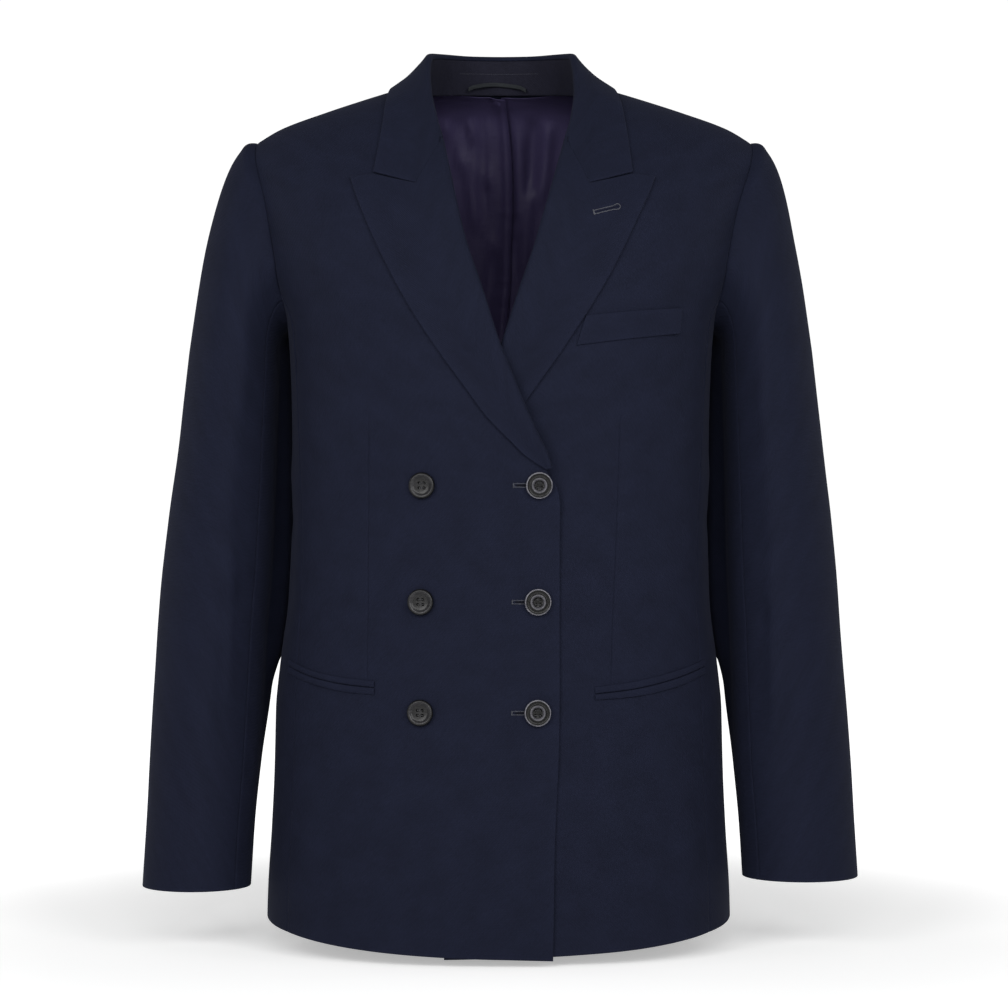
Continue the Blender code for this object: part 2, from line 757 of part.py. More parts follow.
def sleeve_surface(side):
    """Sleeve at an angle round it (0 outside, 90 front, 180 inside) and a run from armhole to cuff."""
    def tube(theta, z):
        across, deep, half, depth = reading(SLEEVE_TUBE, z)
        half += CUFF_FULLNESS[side] * smooth((-0.40 - z) / 0.20)
        turn = radians(theta)
        x, y = across + half * cos(turn), deep - depth * sin(turn)
        if cos(turn) < 0:
            hug = smooth((z + 0.500) / 0.035)
            square = (1 - abs(sin(turn)) ** HUG_SQUARENESS) ** (1 / HUG_SQUARENESS)
            inner = across - half * square + HUG_BREADTH * cos(turn)
            inner = max(inner, body_side(y, z) + HUG_CLEARANCE)
            x += (inner - x) * hug
        return Vector((x, y, z))

    def surface(u, theta):
        u = min(max(u, 0.0), 2.0)
        if u >= 1:
            z = BICEPS_HEIGHT + (CUFF_HEIGHT[side] - BICEPS_HEIGHT) * (u - 1)
            point = tube(theta, z)
        else:
            start = Vector(reading(ARMHOLE, (theta / 360) % 1.0))
            end = tube(theta, BICEPS_HEIGHT)
            reach = (end - start).length
            centre = Vector((0.19, 0.0, -0.117))
            away = Vector((1.0, 0.0, 0.07)) + Vector((0.0, start.y - centre.y, 0.0)) * 7
            first = start + away.normalized() * reach * 0.12
            below = tube(theta, BICEPS_HEIGHT - 0.02)
            flow = (end - below).normalized()
            second = end + (flow * 0.56 + Vector((-0.05 * cos(radians(theta)), 0.0, 0.0))) * reach
            t = u
            point = (
                start * (1 - t) ** 3 + first * 3 * t * (1 - t) ** 2 + second * 3 * t * t * (1 - t) + end * t**3
            )
        return Vector((side * point.x, point.y, point.z))

    return surface


for side, word in ((-1, "right"), (1, "left")):
    tube = sleeve_surface(side)
    runs = [0.0, 0.1, 0.22, 0.36, 0.52, 0.7, 0.86] + shares(9, 1.0, 2.0)
    edge = 0.25
    top_turns = shares(12, HIND_SEAM_ANGLE - 360 + edge, FORE_SEAM_ANGLE - edge)
    under_turns = shares(5, FORE_SEAM_ANGLE + edge, HIND_SEAM_ANGLE - edge)
    cloth(f"top_sleeve_{word}", tube, runs, top_turns, WALL, WOOL)
    cloth(f"under_sleeve_{word}", tube, runs, under_turns, WALL, WOOL)


# ---------------------------------------------------------------- pockets
def patch_on_front(side, corners, out):
    """Flat piece laid over a front between four corners, bottom left first."""
    low_in, low_out, high_out, high_in = (Vector(c) for c in corners)

    def surface(u, v):
        spot = low_in.lerp(low_out, u).lerp(high_in.lerp(high_out, u), v)
        return on_front(side, spot.x, spot.y, out)

    return surface


WELT_HEIGHT = WALL / 2 + LAYER_GAP / 2 + WELT_WALL / 2
cloth("chest_welt", patch_on_front(1, CHEST_WELT, WELT_HEIGHT), shares(6), shares(1), WELT_WALL, WOOL)


def welt_surface(side, upper):
    table = HIP_POCKET[side]

    def surface(u, v):
        first, last = table[0][0], table[-1][0]
        x = first + (last - first) * min(max(u, 0.0), 1.0)
        top, mouth, low = reading(table, x)
        a, b = (mouth + SEAM_GAP, top) if upper else (low, mouth - SEAM_GAP)
        return on_front(side, x, a + (b - a) * v, WELT_HEIGHT)

    return surface


for side, word in ((-1, "right"), (1, "left")):
    cloth(f"hip_welt_upper_{word}", welt_surface(side, True), shares(8), shares(1), WELT_WALL, WOOL)
    cloth(f"hip_welt_lower_{word}", welt_surface(side, False), shares(8), shares(1), WELT_WALL, WOOL)


# ---------------------------------------------------------------- buttons
def button(name, x, z, profile, segments=20):
    spot = place(x, z)
    axis = form_normal(*spot)
    centre = form(*spot) + axis * (WALL / 2 + BUTTON_LIFT)
    right = Vector((1.0, 0.0, 0.0)) - axis * axis.x
    right.normalize()
    up = axis.cross(right)
    points = [centre + axis * profile[0][1]]
    for radius, height in profile[1:-1]:
        for k in range(segments):
            turn = 2 * pi * k / segments
            points.append(centre + axis * height + (right * cos(turn) + up * sin(turn)) * radius)
    points.append(centre + axis * profile[-1][1])
    faces = []
    for ring in range(len(profile) - 3):
        for k in range(segments):
            a, b = 1 + ring * segments + k, 1 + ring * segments + (k + 1) % segments
            faces.append((a, b, b + segments, a + segments))
    last = len(points) - 1
    for k in range(segments):
        after = (k + 1) % segments
        faces.append((0, 1 + after, 1 + k))
        faces.append((last, last - segments + k, last - segments + after))
    return add_object(name, points, faces, HORN)


for row, (z, word) in enumerate(zip(BUTTON_ROWS, ("upper", "middle", "lower"))):
    button(f"fastened_button_{word}", FASTENED_COLUMN, z, FASTENED_PROFILE)
    button(f"show_button_{word}", SHOW_COLUMN, z, SHOW_PROFILE)
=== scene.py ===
from math import cos, pi, radians, sin

import bpy
import numpy as np
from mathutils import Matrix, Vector
from mathutils.bvhtree import BVHTree


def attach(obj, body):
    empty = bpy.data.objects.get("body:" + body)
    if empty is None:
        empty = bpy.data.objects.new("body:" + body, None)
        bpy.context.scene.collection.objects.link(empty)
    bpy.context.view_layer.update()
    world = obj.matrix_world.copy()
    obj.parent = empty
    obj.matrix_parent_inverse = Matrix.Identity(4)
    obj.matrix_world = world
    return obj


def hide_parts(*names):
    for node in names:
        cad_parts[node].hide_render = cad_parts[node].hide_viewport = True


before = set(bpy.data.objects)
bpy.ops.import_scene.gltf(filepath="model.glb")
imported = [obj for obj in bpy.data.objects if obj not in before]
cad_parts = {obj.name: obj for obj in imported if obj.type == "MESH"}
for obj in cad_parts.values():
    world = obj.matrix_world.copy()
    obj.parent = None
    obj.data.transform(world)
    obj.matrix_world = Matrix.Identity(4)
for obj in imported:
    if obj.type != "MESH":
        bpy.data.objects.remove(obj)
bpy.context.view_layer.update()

# ---------------------------------------------------------------- the two foreparts
# The fronts of the jacket, cut in navy wool twill with a canvas behind it: the right one laps over
# the left. Each has a waist dart, is sewn to its side panel, and ends where the lapel rolls back.
WALL = 0.0014
SEAM_GAP = 0.00016
SQUARENESS = 2.4
SHOULDER_HALF_WIDTH = 0.235
BODY = (  # height, half width, depth in front, depth behind
    (0.030, 0.235, 0.080, 0.098),
    (0.000, 0.235, 0.083, 0.100),
    (-0.040, 0.235, 0.090, 0.103),
    (-0.096, 0.215, 0.112, 0.110),
    (-0.150, 0.197, 0.127, 0.116),
    (-0.195, 0.1835, 0.133, 0.119),
    (-0.270, 0.1815, 0.132, 0.117),
    (-0.357, 0.1815, 0.129, 0.114),
    (-0.420, 0.1835, 0.129, 0.115),
    (-0.497, 0.1878, 0.132, 0.119),
    (-0.561, 0.1900, 0.134, 0.122),
    (-0.612, 0.1921, 0.136, 0.125),
    (-0.663, 0.1945, 0.138, 0.127),
    (-0.720, 0.1955, 0.139, 0.128),
)
SHOULDER_LINE = (  # distance from the middle, height
    (0.000, 0.0260),
    (0.060, 0.0165),
    (0.080, 0.0102),
    (0.094, 0.0062),
    (0.114, 0.0002),
    (0.153, -0.0124),
    (0.188, -0.0252),
    (0.209, -0.0375),
    (0.235, -0.0560),
)
ROUNDING = (  # angle round the body, height of the shoulder rounding, its roundness
    (0, 0.120, 2.0),
    (60, 0.115, 2.0),
    (90, 0.110, 2.1),
    (120, 0.110, 2.2),
    (150, 0.095, 2.5),
    (168, 0.080, 2.8),
    (180, 0.070, 3.0),
)
LEAN = (  # height, sideways shift of the whole garment
    (0.030, 0.0000),
    (-0.030, 0.0025),
    (-0.130, 0.0000),
    (-0.300, -0.0005),
    (-0.450, -0.0020),
)
SIDE_HOLLOW = (  # height, how far the sides are drawn in
    (-0.150, 0.0000),
    (-0.200, 0.0042),
    (-0.240, 0.0052),
    (-0.330, 0.0062),
    (-0.420, 0.0062),
    (-0.470, 0.0030),
    (-0.510, 0.0000),
)
FRONT_SEAM = (  # angle round the body, height
    (60, -0.6950),
    (60, -0.632),
    (60, -0.525),
    (61, -0.420),
    (63, -0.348),
    (65, -0.312),
    (66, -0.290),
    (68, -0.262),
    (71, -0.205),
    (74, -0.165),
)
ARMHOLE_FRONT = ((74, -0.165), (69.5, -0.148), (65.5, -0.118), (63.3, -0.088), (61.6, -0.062))
SHOULDER_END = 0.209
NECK_POINT = 0.070
FRONT_EDGE = (  # distance to its own side, height
    (-0.0440, -0.7096),
    (-0.0452, -0.632),
    (-0.0492, -0.525),
    (-0.0492, -0.420),
    (-0.0487, -0.348),
    (-0.0425, -0.318),
    (-0.0362, -0.298),
    (-0.0246, -0.274),
    (0.0007, -0.212),
    (0.0140, -0.1707),
)
ROLL_TO_NECK = ((0.0140, -0.1707), (0.0277, -0.1305), (0.0418, -0.0754), (0.0494, -0.0444), (0.0635, -0.0110))
UNDER_FRONT_PRESS = (  # height, how far the under front lies inside the body form
    (-0.720, 0.0028),
    (-0.400, 0.0028),
    (-0.345, 0.0050),
    (-0.312, 0.0085),
    (-0.200, 0.0085),
    (-0.120, 0.0000),
    (0.000, 0.0000),
)
DART = {-1: ((-0.268, 0.1068), (-0.487, 0.1064)), 1: ((-0.262, 0.0985), (-0.485, 0.0915))}
HIP_POCKET = {  # across, height of the upper edge, mouth and lower edge
    -1: (
        (0.1000, -0.4860, -0.4915, -0.4972),
        (0.1240, -0.4842, -0.4895, -0.4955),
        (0.1500, -0.4800, -0.4850, -0.4905),
        (0.1740, -0.4720, -0.4770, -0.4830),
    ),
    1: (
        (0.0780, -0.4905, -0.4962, -0.5010),
        (0.1080, -0.4870, -0.4930, -0.4990),
        (0.1420, -0.4800, -0.4860, -0.4930),
        (0.1700, -0.4715, -0.4770, -0.4830),
    ),
}
FRONT_FOLDS = (  # from across, height, to across, height, half breadth, rise
    (0.060, -0.340, 0.150, -0.300, 0.014, 0.0007),
    (0.070, -0.430, 0.165, -0.455, 0.016, -0.0008),
    (0.030, -0.560, 0.110, -0.620, 0.022, 0.0008),
    (0.120, -0.540, 0.135, -0.660, 0.020, -0.0010),
    (0.155, -0.520, 0.165, -0.690, 0.012, 0.0009),
    (0.165, -0.130, 0.150, -0.250, 0.018, -0.0016),
    (0.125, -0.090, 0.140, -0.170, 0.020, 0.0010),
    (0.060, -0.640, 0.080, -0.700, 0.018, -0.0006),
)


def reading(table, at):
    """Columns of a table at places of its first column, on smooth lines through its rows."""
    rows = np.array(table, float)
    if rows[0, 0] > rows[-1, 0]:
        rows = rows[::-1]
    place_x, columns = rows[:, 0], rows[:, 1:]
    at = np.clip(np.asarray(at, float), place_x[0], place_x[-1])
    rise = np.diff(columns, axis=0) / np.diff(place_x)[:, None]
    slope = np.vstack([rise[:1], np.zeros_like(rise[1:]), rise[-1:]])
    same = rise[:-1] * rise[1:] > 0
    total = np.where(same, rise[:-1] + rise[1:], 1.0)
    slope[1:-1] = np.where(same, 2 * rise[:-1] * rise[1:] / total, 0.0)
    i = np.clip(np.searchsorted(place_x, at, side="right") - 1, 0, len(rows) - 2)
    step = place_x[i + 1] - place_x[i]
    t = ((at - place_x[i]) / step)[..., None]
    step = step[..., None]
    value = (2 * t**3 - 3 * t**2 + 1) * columns[i] + (3 * t**2 - 2 * t**3) * columns[i + 1]
    value = value + step * ((t**3 - 2 * t**2 + t) * slope[i] + (t**3 - t**2) * slope[i + 1])
    return [value[..., k] for k in range(columns.shape[1])]


def smooth(t):
    t = np.clip(t, 0.0, 1.0)
    return t * t * (3 - 2 * t)


def side_hollow(y, z):
    """How far the body's sides are drawn in at the waist, at depths and heights."""
    return reading(SIDE_HOLLOW, z)[0] * smooth((0.085 - np.abs(y)) / 0.05)


def form(angle, drop):
    """Points of the body form at angles round it and measures of drop below the shoulder."""
    angle, drop = np.broadcast_arrays(np.asarray(angle, float), np.asarray(drop, float))
    turn = np.radians(angle)
    across = np.sign(np.sin(turn)) * np.abs(np.sin(turn)) ** (2 / SQUARENESS)
    deep = np.abs(np.cos(turn)) ** (2 / SQUARENESS)
    top = reading(SHOULDER_LINE, SHOULDER_HALF_WIDTH * np.abs(across))[0]
    height, power = reading(ROUNDING, np.abs(angle))
    drop = np.maximum(drop, 0.0)
    share = np.where(drop < 1, np.maximum(drop, 0) ** power, 1 + power * (drop - 1))
    fullness = (1 - np.maximum(0.0, 1 - share) ** power) ** (1 / power)
    z = top - height * share
    half, front, back = reading(BODY, z)
    y = np.where(np.abs(angle) > 90, back, -front) * deep * fullness
    return np.stack([half * across - side_hollow(y, z) * across, y, z], axis=-1)


def drop_at(angle, z):
    """Measure of drop that reaches a height at an angle round the body."""
    across = np.abs(np.sin(np.radians(angle))) ** (2 / SQUARENESS)
    top = reading(SHOULDER_LINE, SHOULDER_HALF_WIDTH * across)[0]
    height, power = reading(ROUNDING, np.abs(angle))
    share = np.maximum(0.0, (top - z) / height)
    return np.where(share < 1, share ** (1 / power), 1 + (share - 1) / power)


def place(x, z, behind=False):
    """Angle and drop of places given by their distance from the middle and their height."""
    share = np.minimum(1.0, np.abs(x) / reading(BODY, z)[0])
    angle = np.degrees(np.arcsin(share ** (SQUARENESS / 2)))
    angle = 180 - angle if behind else np.where(np.asarray(x) < 0, -angle, angle)
    return angle, drop_at(angle, z)


def ridge(x, behind=False):
    """Angle and drop of a place on the shoulder line."""
    angle = np.degrees(np.arcsin((x / SHOULDER_HALF_WIDTH) ** (SQUARENESS / 2)))
    return (180 - angle if behind else angle), 0.002


def form_normal(angle, drop):
    """Outward unit normals of the body form."""
    drop = np.maximum(drop, 0.002)
    round_it = form(angle + 0.0015, drop) - form(angle - 0.0015, drop)
    down_it = form(angle, drop + 0.0015) - form(angle, drop - 0.0015)
    normal = -np.cross(round_it, down_it)
    return normal / np.linalg.norm(normal, axis=-1, keepdims=True)


def seam(points, behind=False):
    return [(180 - a if behind else a, float(drop_at(180 - a if behind else a, z))) for a, z in points]


def seam_rows(inner, outer):
    """Table of both ends of the cross threads of a panel, by the share of its rows."""
    last = len(inner) - 1
    return [(i / last, *map(float, a), *map(float, b)) for i, (a, b) in enumerate(zip(inner, outer))]


def spread(count, extra_start=(), extra_end=(), length=1.0, start=0.0, end=1.0):
    """Even shares with extra ones close to either end, for rounded edges."""
    even = np.linspace(start, end, count + 1)
    near = [start + d / length for d in extra_start] + [end - d / length for d in extra_end]
    return np.unique(np.round(np.concatenate([even, near]), 7))


def in_turn(*stretches):
    """Shares of one stretch after another, each given as for spread."""
    parts = [spread(*stretch) for stretch in stretches]
    return np.concatenate([parts[0]] + [part[1:] for part in parts[1:]])


EDGE_STEPS = (0.00012, 0.0003, 0.0006, 0.0010, 0.0016, 0.0026)


def panel(stages, rows, cols, dip=0.0, start_gap=SEAM_GAP / 2, end_gap=SEAM_GAP / 2, to_shoulder=True):
    """Points between two seams on the body form, with their distance from the middle and height."""
    stage = np.minimum(rows.astype(int), len(stages) - 1)
    ends = np.array([[float(c) for c in reading(stages[k], r - k)] for k, r in zip(stage, rows)])
    angle_a, drop_a, angle_b, drop_b = (ends[:, k][:, None] for k in range(4))
    first_point, last_point = form(angle_a, drop_a), form(angle_b, drop_b)
    width = np.linalg.norm(last_point - first_point, axis=-1)
    start_gap = np.broadcast_to(np.asarray(start_gap, float).reshape(-1, 1), width.shape)
    end_gap = np.broadcast_to(np.asarray(end_gap, float).reshape(-1, 1), width.shape)
    v = start_gap / width + cols * (1 - (start_gap + end_gap) / width)
    angle = angle_a + (angle_b - angle_a) * v
    z = first_point[..., 2] + (last_point[..., 2] - first_point[..., 2]) * v
    if dip:
        z = z - dip * smooth(1.25 * rows[:, None] - 0.25) * 4 * v * (1 - v)
    drop = drop_at(angle, z)
    if to_shoulder:
        near = smooth(rows - len(stages) + 1)[:, None]
        drop = drop + (drop_a + (drop_b - drop_a) * v - drop) * near
    points = form(angle, drop)
    return points, angle, drop


def unit(vectors):
    return vectors / np.maximum(np.linalg.norm(vectors, axis=-1, keepdims=True), 1e-12)


def grid_normals(points):
    """Unit normals of a grid of points."""
    return unit(np.cross(np.gradient(points, axis=0), np.gradient(points, axis=1)))


def border_distances(points):
    """Distances of a grid's points to its first and last row and column, along the cloth."""
    down = np.linalg.norm(np.diff(points, axis=0), axis=-1)
    wide = np.linalg.norm(np.diff(points, axis=1), axis=-1)
    from_first = np.vstack([np.zeros(points.shape[1]), np.cumsum(down, axis=0)])
    from_side = np.hstack([np.zeros((points.shape[0], 1)), np.cumsum(wide, axis=1)])
    return from_first, from_first[-1] - from_first, from_side, from_side[:, -1:] - from_side


def soft_folds(a, b, table):
    """Low ridges and troughs, each lying along a line, fading at its ends."""
    a, b = np.broadcast_arrays(a, b)
    rise = np.zeros(a.shape)
    for a0, b0, a1, b1, breadth, height in table:
        line = np.array([a1 - a0, b1 - b0])
        length = np.hypot(*line)
        line /= length
        along = (a - a0) * line[0] + (b - b0) * line[1]
        aside = (b - b0) * line[0] - (a - a0) * line[1]
        t = along / length
        bend = 0.25 * breadth * np.sin(3.1 * t + 40 * a0)
        fade = smooth(t / 0.35 + 0.4) * smooth((1 - t) / 0.35 + 0.4)
        rise += height * np.exp(-(((aside + bend) / breadth) ** 2)) * fade
    return rise


def lean(points):
    moved = points.copy()
    moved[..., 0] += reading(LEAN, points[..., 2])[0]
    return moved


def new_piece(name, points, faces):
    """A smooth mesh object, linked to the scene."""
    mesh = bpy.data.meshes.new(name)
    mesh.from_pydata(points, [], faces)
    mesh.shade_smooth()
    piece = bpy.data.objects.new(name, mesh)
    bpy.context.scene.collection.objects.link(piece)
    return piece


def note(piece, name, values):
    """A number kept at each point of a piece, for its material to read."""
    kept = piece.data.attributes.new(name, "FLOAT", "POINT")
    kept.data.foreach_set("value", values.astype(np.float32))


def shell(name, outer, inner, cut, edge):
    """Closed mesh between an outer and an inner grid, with its flat cut as a map."""
    rows, cols = outer.shape[:2]
    count = rows * cols
    index = np.arange(count).reshape(rows, cols)
    a, b, c, d = index[:-1, :-1], index[:-1, 1:], index[1:, 1:], index[1:, :-1]
    top = np.stack([a, b, c, d], axis=-1).reshape(-1, 4)
    low = top[:, ::-1] + count
    rim = np.concatenate([index[:, 0], index[-1, 1:], index[::-1, -1][1:], index[0, ::-1][1:-1]])
    after = np.roll(rim, -1)
    sides = np.stack([rim, rim + count, after + count, after], axis=-1)[:, ::-1]
    points = lean(np.concatenate([outer.reshape(-1, 3), inner.reshape(-1, 3)]))
    faces = np.concatenate([top, low, sides])
    corners = points[faces]
    volume = sum(
        np.einsum("ij,ij->i", corners[:, 0], np.cross(corners[:, k], corners[:, k + 1])).sum() for k in (1, 2)
    )
    if volume < 0:
        faces = faces[:, ::-1]
    piece = new_piece(name, points.tolist(), faces.tolist())
    flat = np.concatenate([cut.reshape(-1, 2)] * 2)[faces.reshape(-1)]
    piece.data.uv_layers.new(name="cut").data.foreach_set("uv", flat.astype(np.float32).ravel())
    note(piece, "edge", np.concatenate([edge.ravel()] * 2))
    return piece


def node(tree, kind, inputs=(), **settings):
    """Outputs of a new shader node; each of its inputs is a constant or another node's output."""
    made = tree.nodes.new(f"ShaderNode{kind}")
    made.location = (180 * len(tree.nodes), 0)
    for key, value in settings.items():
        setattr(made, key, value)
    for socket, value in dict(inputs).items():
        if isinstance(value, bpy.types.NodeSocket):
            tree.links.new(value, made.inputs[socket])
        else:
            made.inputs[socket].default_value = value
    return made.outputs


def maths(tree, operation, *values):
    return node(tree, "Math", enumerate(values), operation=operation)[0]


def stretched(tree, vector, factors):
    return node(tree, "VectorMath", {0: vector, 1: factors}, operation="MULTIPLY")[0]


def scaled(tree, vector, factor):
    return node(tree, "VectorMath", {0: vector, "Scale": factor}, operation="SCALE")[0]


def ranged(tree, value, low, high, to_low, to_high, **settings):
    """A value carried from one range to another."""
    return node(tree, "MapRange", {0: value, 1: low, 2: high, 3: to_low, 4: to_high}, **settings)[0]


def mixed(tree, share, first, second):
    """Blend of two colours, each three numbers or a node's output."""
    ends = [c if isinstance(c, bpy.types.NodeSocket) else (*c, 1) for c in (first, second)]
    return node(tree, "Mix", {0: share, 6: ends[0], 7: ends[1]}, data_type="RGBA")[2]


def group(name, inputs, outputs):
    """Empty shader node group, with the outputs of its way in and the inputs of its way out."""
    tree = bpy.data.node_groups.new(name, "ShaderNodeTree")
    for socket, kind, start in inputs:
        made = tree.interface.new_socket(socket, in_out="INPUT", socket_type=f"NodeSocket{kind}")
        if start is not None:
            made.default_value = start
    for socket in outputs:
        tree.interface.new_socket(socket, in_out="OUTPUT", socket_type="NodeSocketFloat")
    return tree, tree.nodes.new("NodeGroupInput").outputs, tree.nodes.new("NodeGroupOutput").inputs


def wire(tree, sockets, values):
    for socket, value in values.items():
        tree.links.new(value, sockets[socket])


def material(name, constants):
    """New material with constants set on its shader's own sockets."""
    made = bpy.data.materials.new(name)
    made.use_nodes = True
    sockets = made.node_tree.nodes["Principled BSDF"].inputs
    for socket, value in constants.items():
        sockets[socket].default_value = value
    return made, made.node_tree, sockets


def raised(tree, height, strength, distance):
    """Normal of a surface raised by a height over it."""
    return node(tree, "Bump", {"Strength": strength, "Distance": distance, "Height": height})[0]


def twill_group():
    """Twill weave of crossing threads on the cut's own map, with slubs and fibre."""
    tree, given, out = group(
        "twill weave",
        [("Cut", "Vector", None), ("Threads per metre", "Float", 1500.0)],
        ("Height", "Fibre", "Cloudiness"),
    )
    threads = scaled(tree, given["Cut"], given["Threads per metre"])
    across, along = node(tree, "SeparateXYZ", {0: threads})[:2]
    rib = maths(tree, "SINE", maths(tree, "MULTIPLY", maths(tree, "ADD", across, along), 1.571))
    ply = maths(tree, "SINE", maths(tree, "MULTIPLY", along, 3.1416))
    weave = maths(tree, "ADD", rib, maths(tree, "MULTIPLY", ply, 0.35))
    drawn = stretched(tree, given["Cut"], (900, 260, 1))
    slubs = {"Vector": drawn, "Scale": 1.0, "Detail": 3.0, "Roughness": 0.7}
    fibre = node(tree, "TexNoise", slubs)[0]
    clouds = {"Vector": given["Cut"], "Scale": 42.0, "Detail": 4.0, "Roughness": 0.55}
    broad = node(tree, "TexNoise", clouds)[0]
    height = maths(tree, "ADD", weave, maths(tree, "MULTIPLY", fibre, 1.1))
    wire(tree, out, {"Height": height, "Fibre": fibre, "Cloudiness": broad})
    return tree


TWILL = twill_group()
# Lightening of the wool along free edges: partly wear, partly a painted sheen.
EDGE_WEAR_AND_SHEEN = 0.14
WORN_AND_SHEEN_TONE = 1.5


def wool(name, deep, light, sheen=0.05, lift=0.00011):
    """Matt navy wool: two tones of fibre, faint cloudiness, edges lightened by wear and a painted sheen, a
    soft bloom.
    """
    made, tree, shader = material(name, {
        "Roughness": 0.80,
        "Specular IOR Level": 0.09,
        "Sheen Weight": sheen,
        "Sheen Roughness": 0.45,
        "Sheen Tint": (0.42, 0.45, 0.62, 1),
    })
    cut = node(tree, "UVMap", uv_map="cut")[0]
    weave = node(tree, "Group", {"Cut": cut}, node_tree=TWILL)
    fibre = ranged(tree, weave["Fibre"], 0.30, 0.72, 0.0, 1.0)
    cloud = ranged(tree, weave["Cloudiness"], 0.25, 0.75, 0.86, 1.14)
    shaded = scaled(tree, mixed(tree, fibre, deep, light), cloud)
    # Near free edges the colour is lightened: partly wear of the pressed edges, partly a painted sheen.
    wear_and_sheen = maths(tree, "MULTIPLY", node(tree, "Attribute", attribute_name="edge")["Fac"], EDGE_WEAR_AND_SHEEN)
    colour = mixed(tree, wear_and_sheen, shaded, [WORN_AND_SHEEN_TONE * c for c in light])
    wire(tree, shader, {"Base Color": colour, "Normal": raised(tree, weave["Height"], 0.4, lift)})
    return made


WOOL = wool("navy wool twill", (0.0063, 0.0078, 0.0178), (0.0087, 0.0107, 0.0242))
SEAM = "seam"
FREE = 0.0
SEAM_DIP, SEAM_BREADTH = 0.30, 0.0008  # share of the wall, metres
SEWN_DIP, SEWN_BREADTH = 0.16, 0.0006
EDGE_ROUND, EDGE_LEAST = 0.6, 0.08  # shares of the wall
# Breadth of the lightened band along free edges, which is partly wear and partly painted sheen.
WEAR_AND_SHEEN_BREADTH = 0.004


def cloth_piece(name, points, wall, borders, look=WOOL, folds=0.0, groove=0.0, outward=None):
    """Cloth wall on a grid of points.

    Its borders are the first and last row and column: a seam let in, a free rounded edge, nothing,
    or an edge sewn along part of its length, as the share that is sewn at each point.
    """
    normal = grid_normals(points)
    centre = np.array([0.0, 0.0, points[..., 2].mean()]) if outward is None else outward
    if ((points - centre) * normal)[..., :2].sum() < 0:
        normal = -normal
    apart = border_distances(points)
    outer = np.full(points.shape[:2], wall / 2)
    inner = outer.copy()
    nearest = np.full(points.shape[:2], 1.0)
    for away, kind in zip(apart, borders):
        if isinstance(kind, str):
            outer -= SEAM_DIP * wall * np.exp(-((away / SEAM_BREADTH) ** 1.4))
        elif kind is not None:
            sewn = np.reshape(kind, (1, -1))
            nearest = np.minimum(nearest, away + 0.02 * sewn)
            rounded = np.sqrt(1 - (1 - np.clip(away / (wall * EDGE_ROUND), 0.0, 1.0)) ** 2)
            rounded = rounded + (1 - rounded) * sewn
            outer *= EDGE_LEAST + (1 - EDGE_LEAST) * rounded
            inner *= EDGE_LEAST + (1 - EDGE_LEAST) * rounded
            outer -= SEWN_DIP * wall * sewn * np.exp(-((away / SEWN_BREADTH) ** 1.4))
    piece = shell(
        f"{name}_cloth",
        points + normal * (outer + folds - groove)[..., None],
        points - normal * (inner - folds)[..., None],
        np.stack([apart[2], apart[0]], axis=-1),
        np.exp(-nearest / WEAR_AND_SHEEN_BREADTH),
    )
    piece.data.materials.append(look)
    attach(piece, "root")
    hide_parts(name)
    return piece


UNDER_HEM_RISE = 0.0006
HEM_SAG = 0.0018
FRONT_LOW = {}
for side in (-1, 1):
    hem_x, hem_z = FRONT_EDGE[0]
    edge_line = [(hem_x, hem_z + (UNDER_HEM_RISE if side > 0 else 0.0)), *FRONT_EDGE[1:]]
    FRONT_LOW[side] = seam_rows([place(x, z) for x, z in edge_line], seam(FRONT_SEAM))
FRONT_HIGH = seam_rows(
    [place(x, z) for x, z in ROLL_TO_NECK] + [ridge(NECK_POINT)],
    seam(ARMHOLE_FRONT) + [ridge(SHOULDER_END)],
)
ROLL_RADIUS = 0.0023
LAPEL_WALL = 0.0022
DART_SHARE = 0.62
DART_WINDOW = 0.011
DART_STEPS = np.array([-9, -6, -4, -3, -2, -1, -0.5, 0, 0.5, 1, 2, 3, 4, 6, 9]) * 0.0012
DART_GROOVE, DART_BREADTH = 0.0006, 0.0007
DART_PULL, PULL_BREADTH = 0.00035, 0.006
POCKET_BED = 0.0009
SIDES = ((-1, "right"), (1, "left"))


def press(x, z):
    """How far the under front lies inside the form, next to the middle of the front."""
    return reading(UNDER_FRONT_PRESS, z)[0] * (1 - smooth((x - 0.050) / 0.070))


def pocket_bed(x, z, table):
    """Shallow bed in the front in which the two lips of a hip pocket lie."""
    top, _, low = reading(table, x)
    inside_x = smooth((x - table[0][0] + 0.001) / 0.0012) * smooth((table[-1][0] - x + 0.001) / 0.0012)
    inside_z = smooth((top - z + 0.0006) / 0.0012) * smooth((z - low + 0.0006) / 0.0012)
    return POCKET_BED * inside_x * inside_z


def set_in(rows):
    """Gap along a panel's outer seam: wider at the armhole, where the sleeve is set in."""
    return np.where(rows > 1.0, WALL / 2 + 0.00005, SEAM_GAP / 2)


def dart_line(side, z):
    """Distance of the waist dart from the middle, at heights."""
    (_, top_x), (_, low_x) = DART[side]
    return np.interp(-z, [0.262, 0.487], [top_x, low_x])


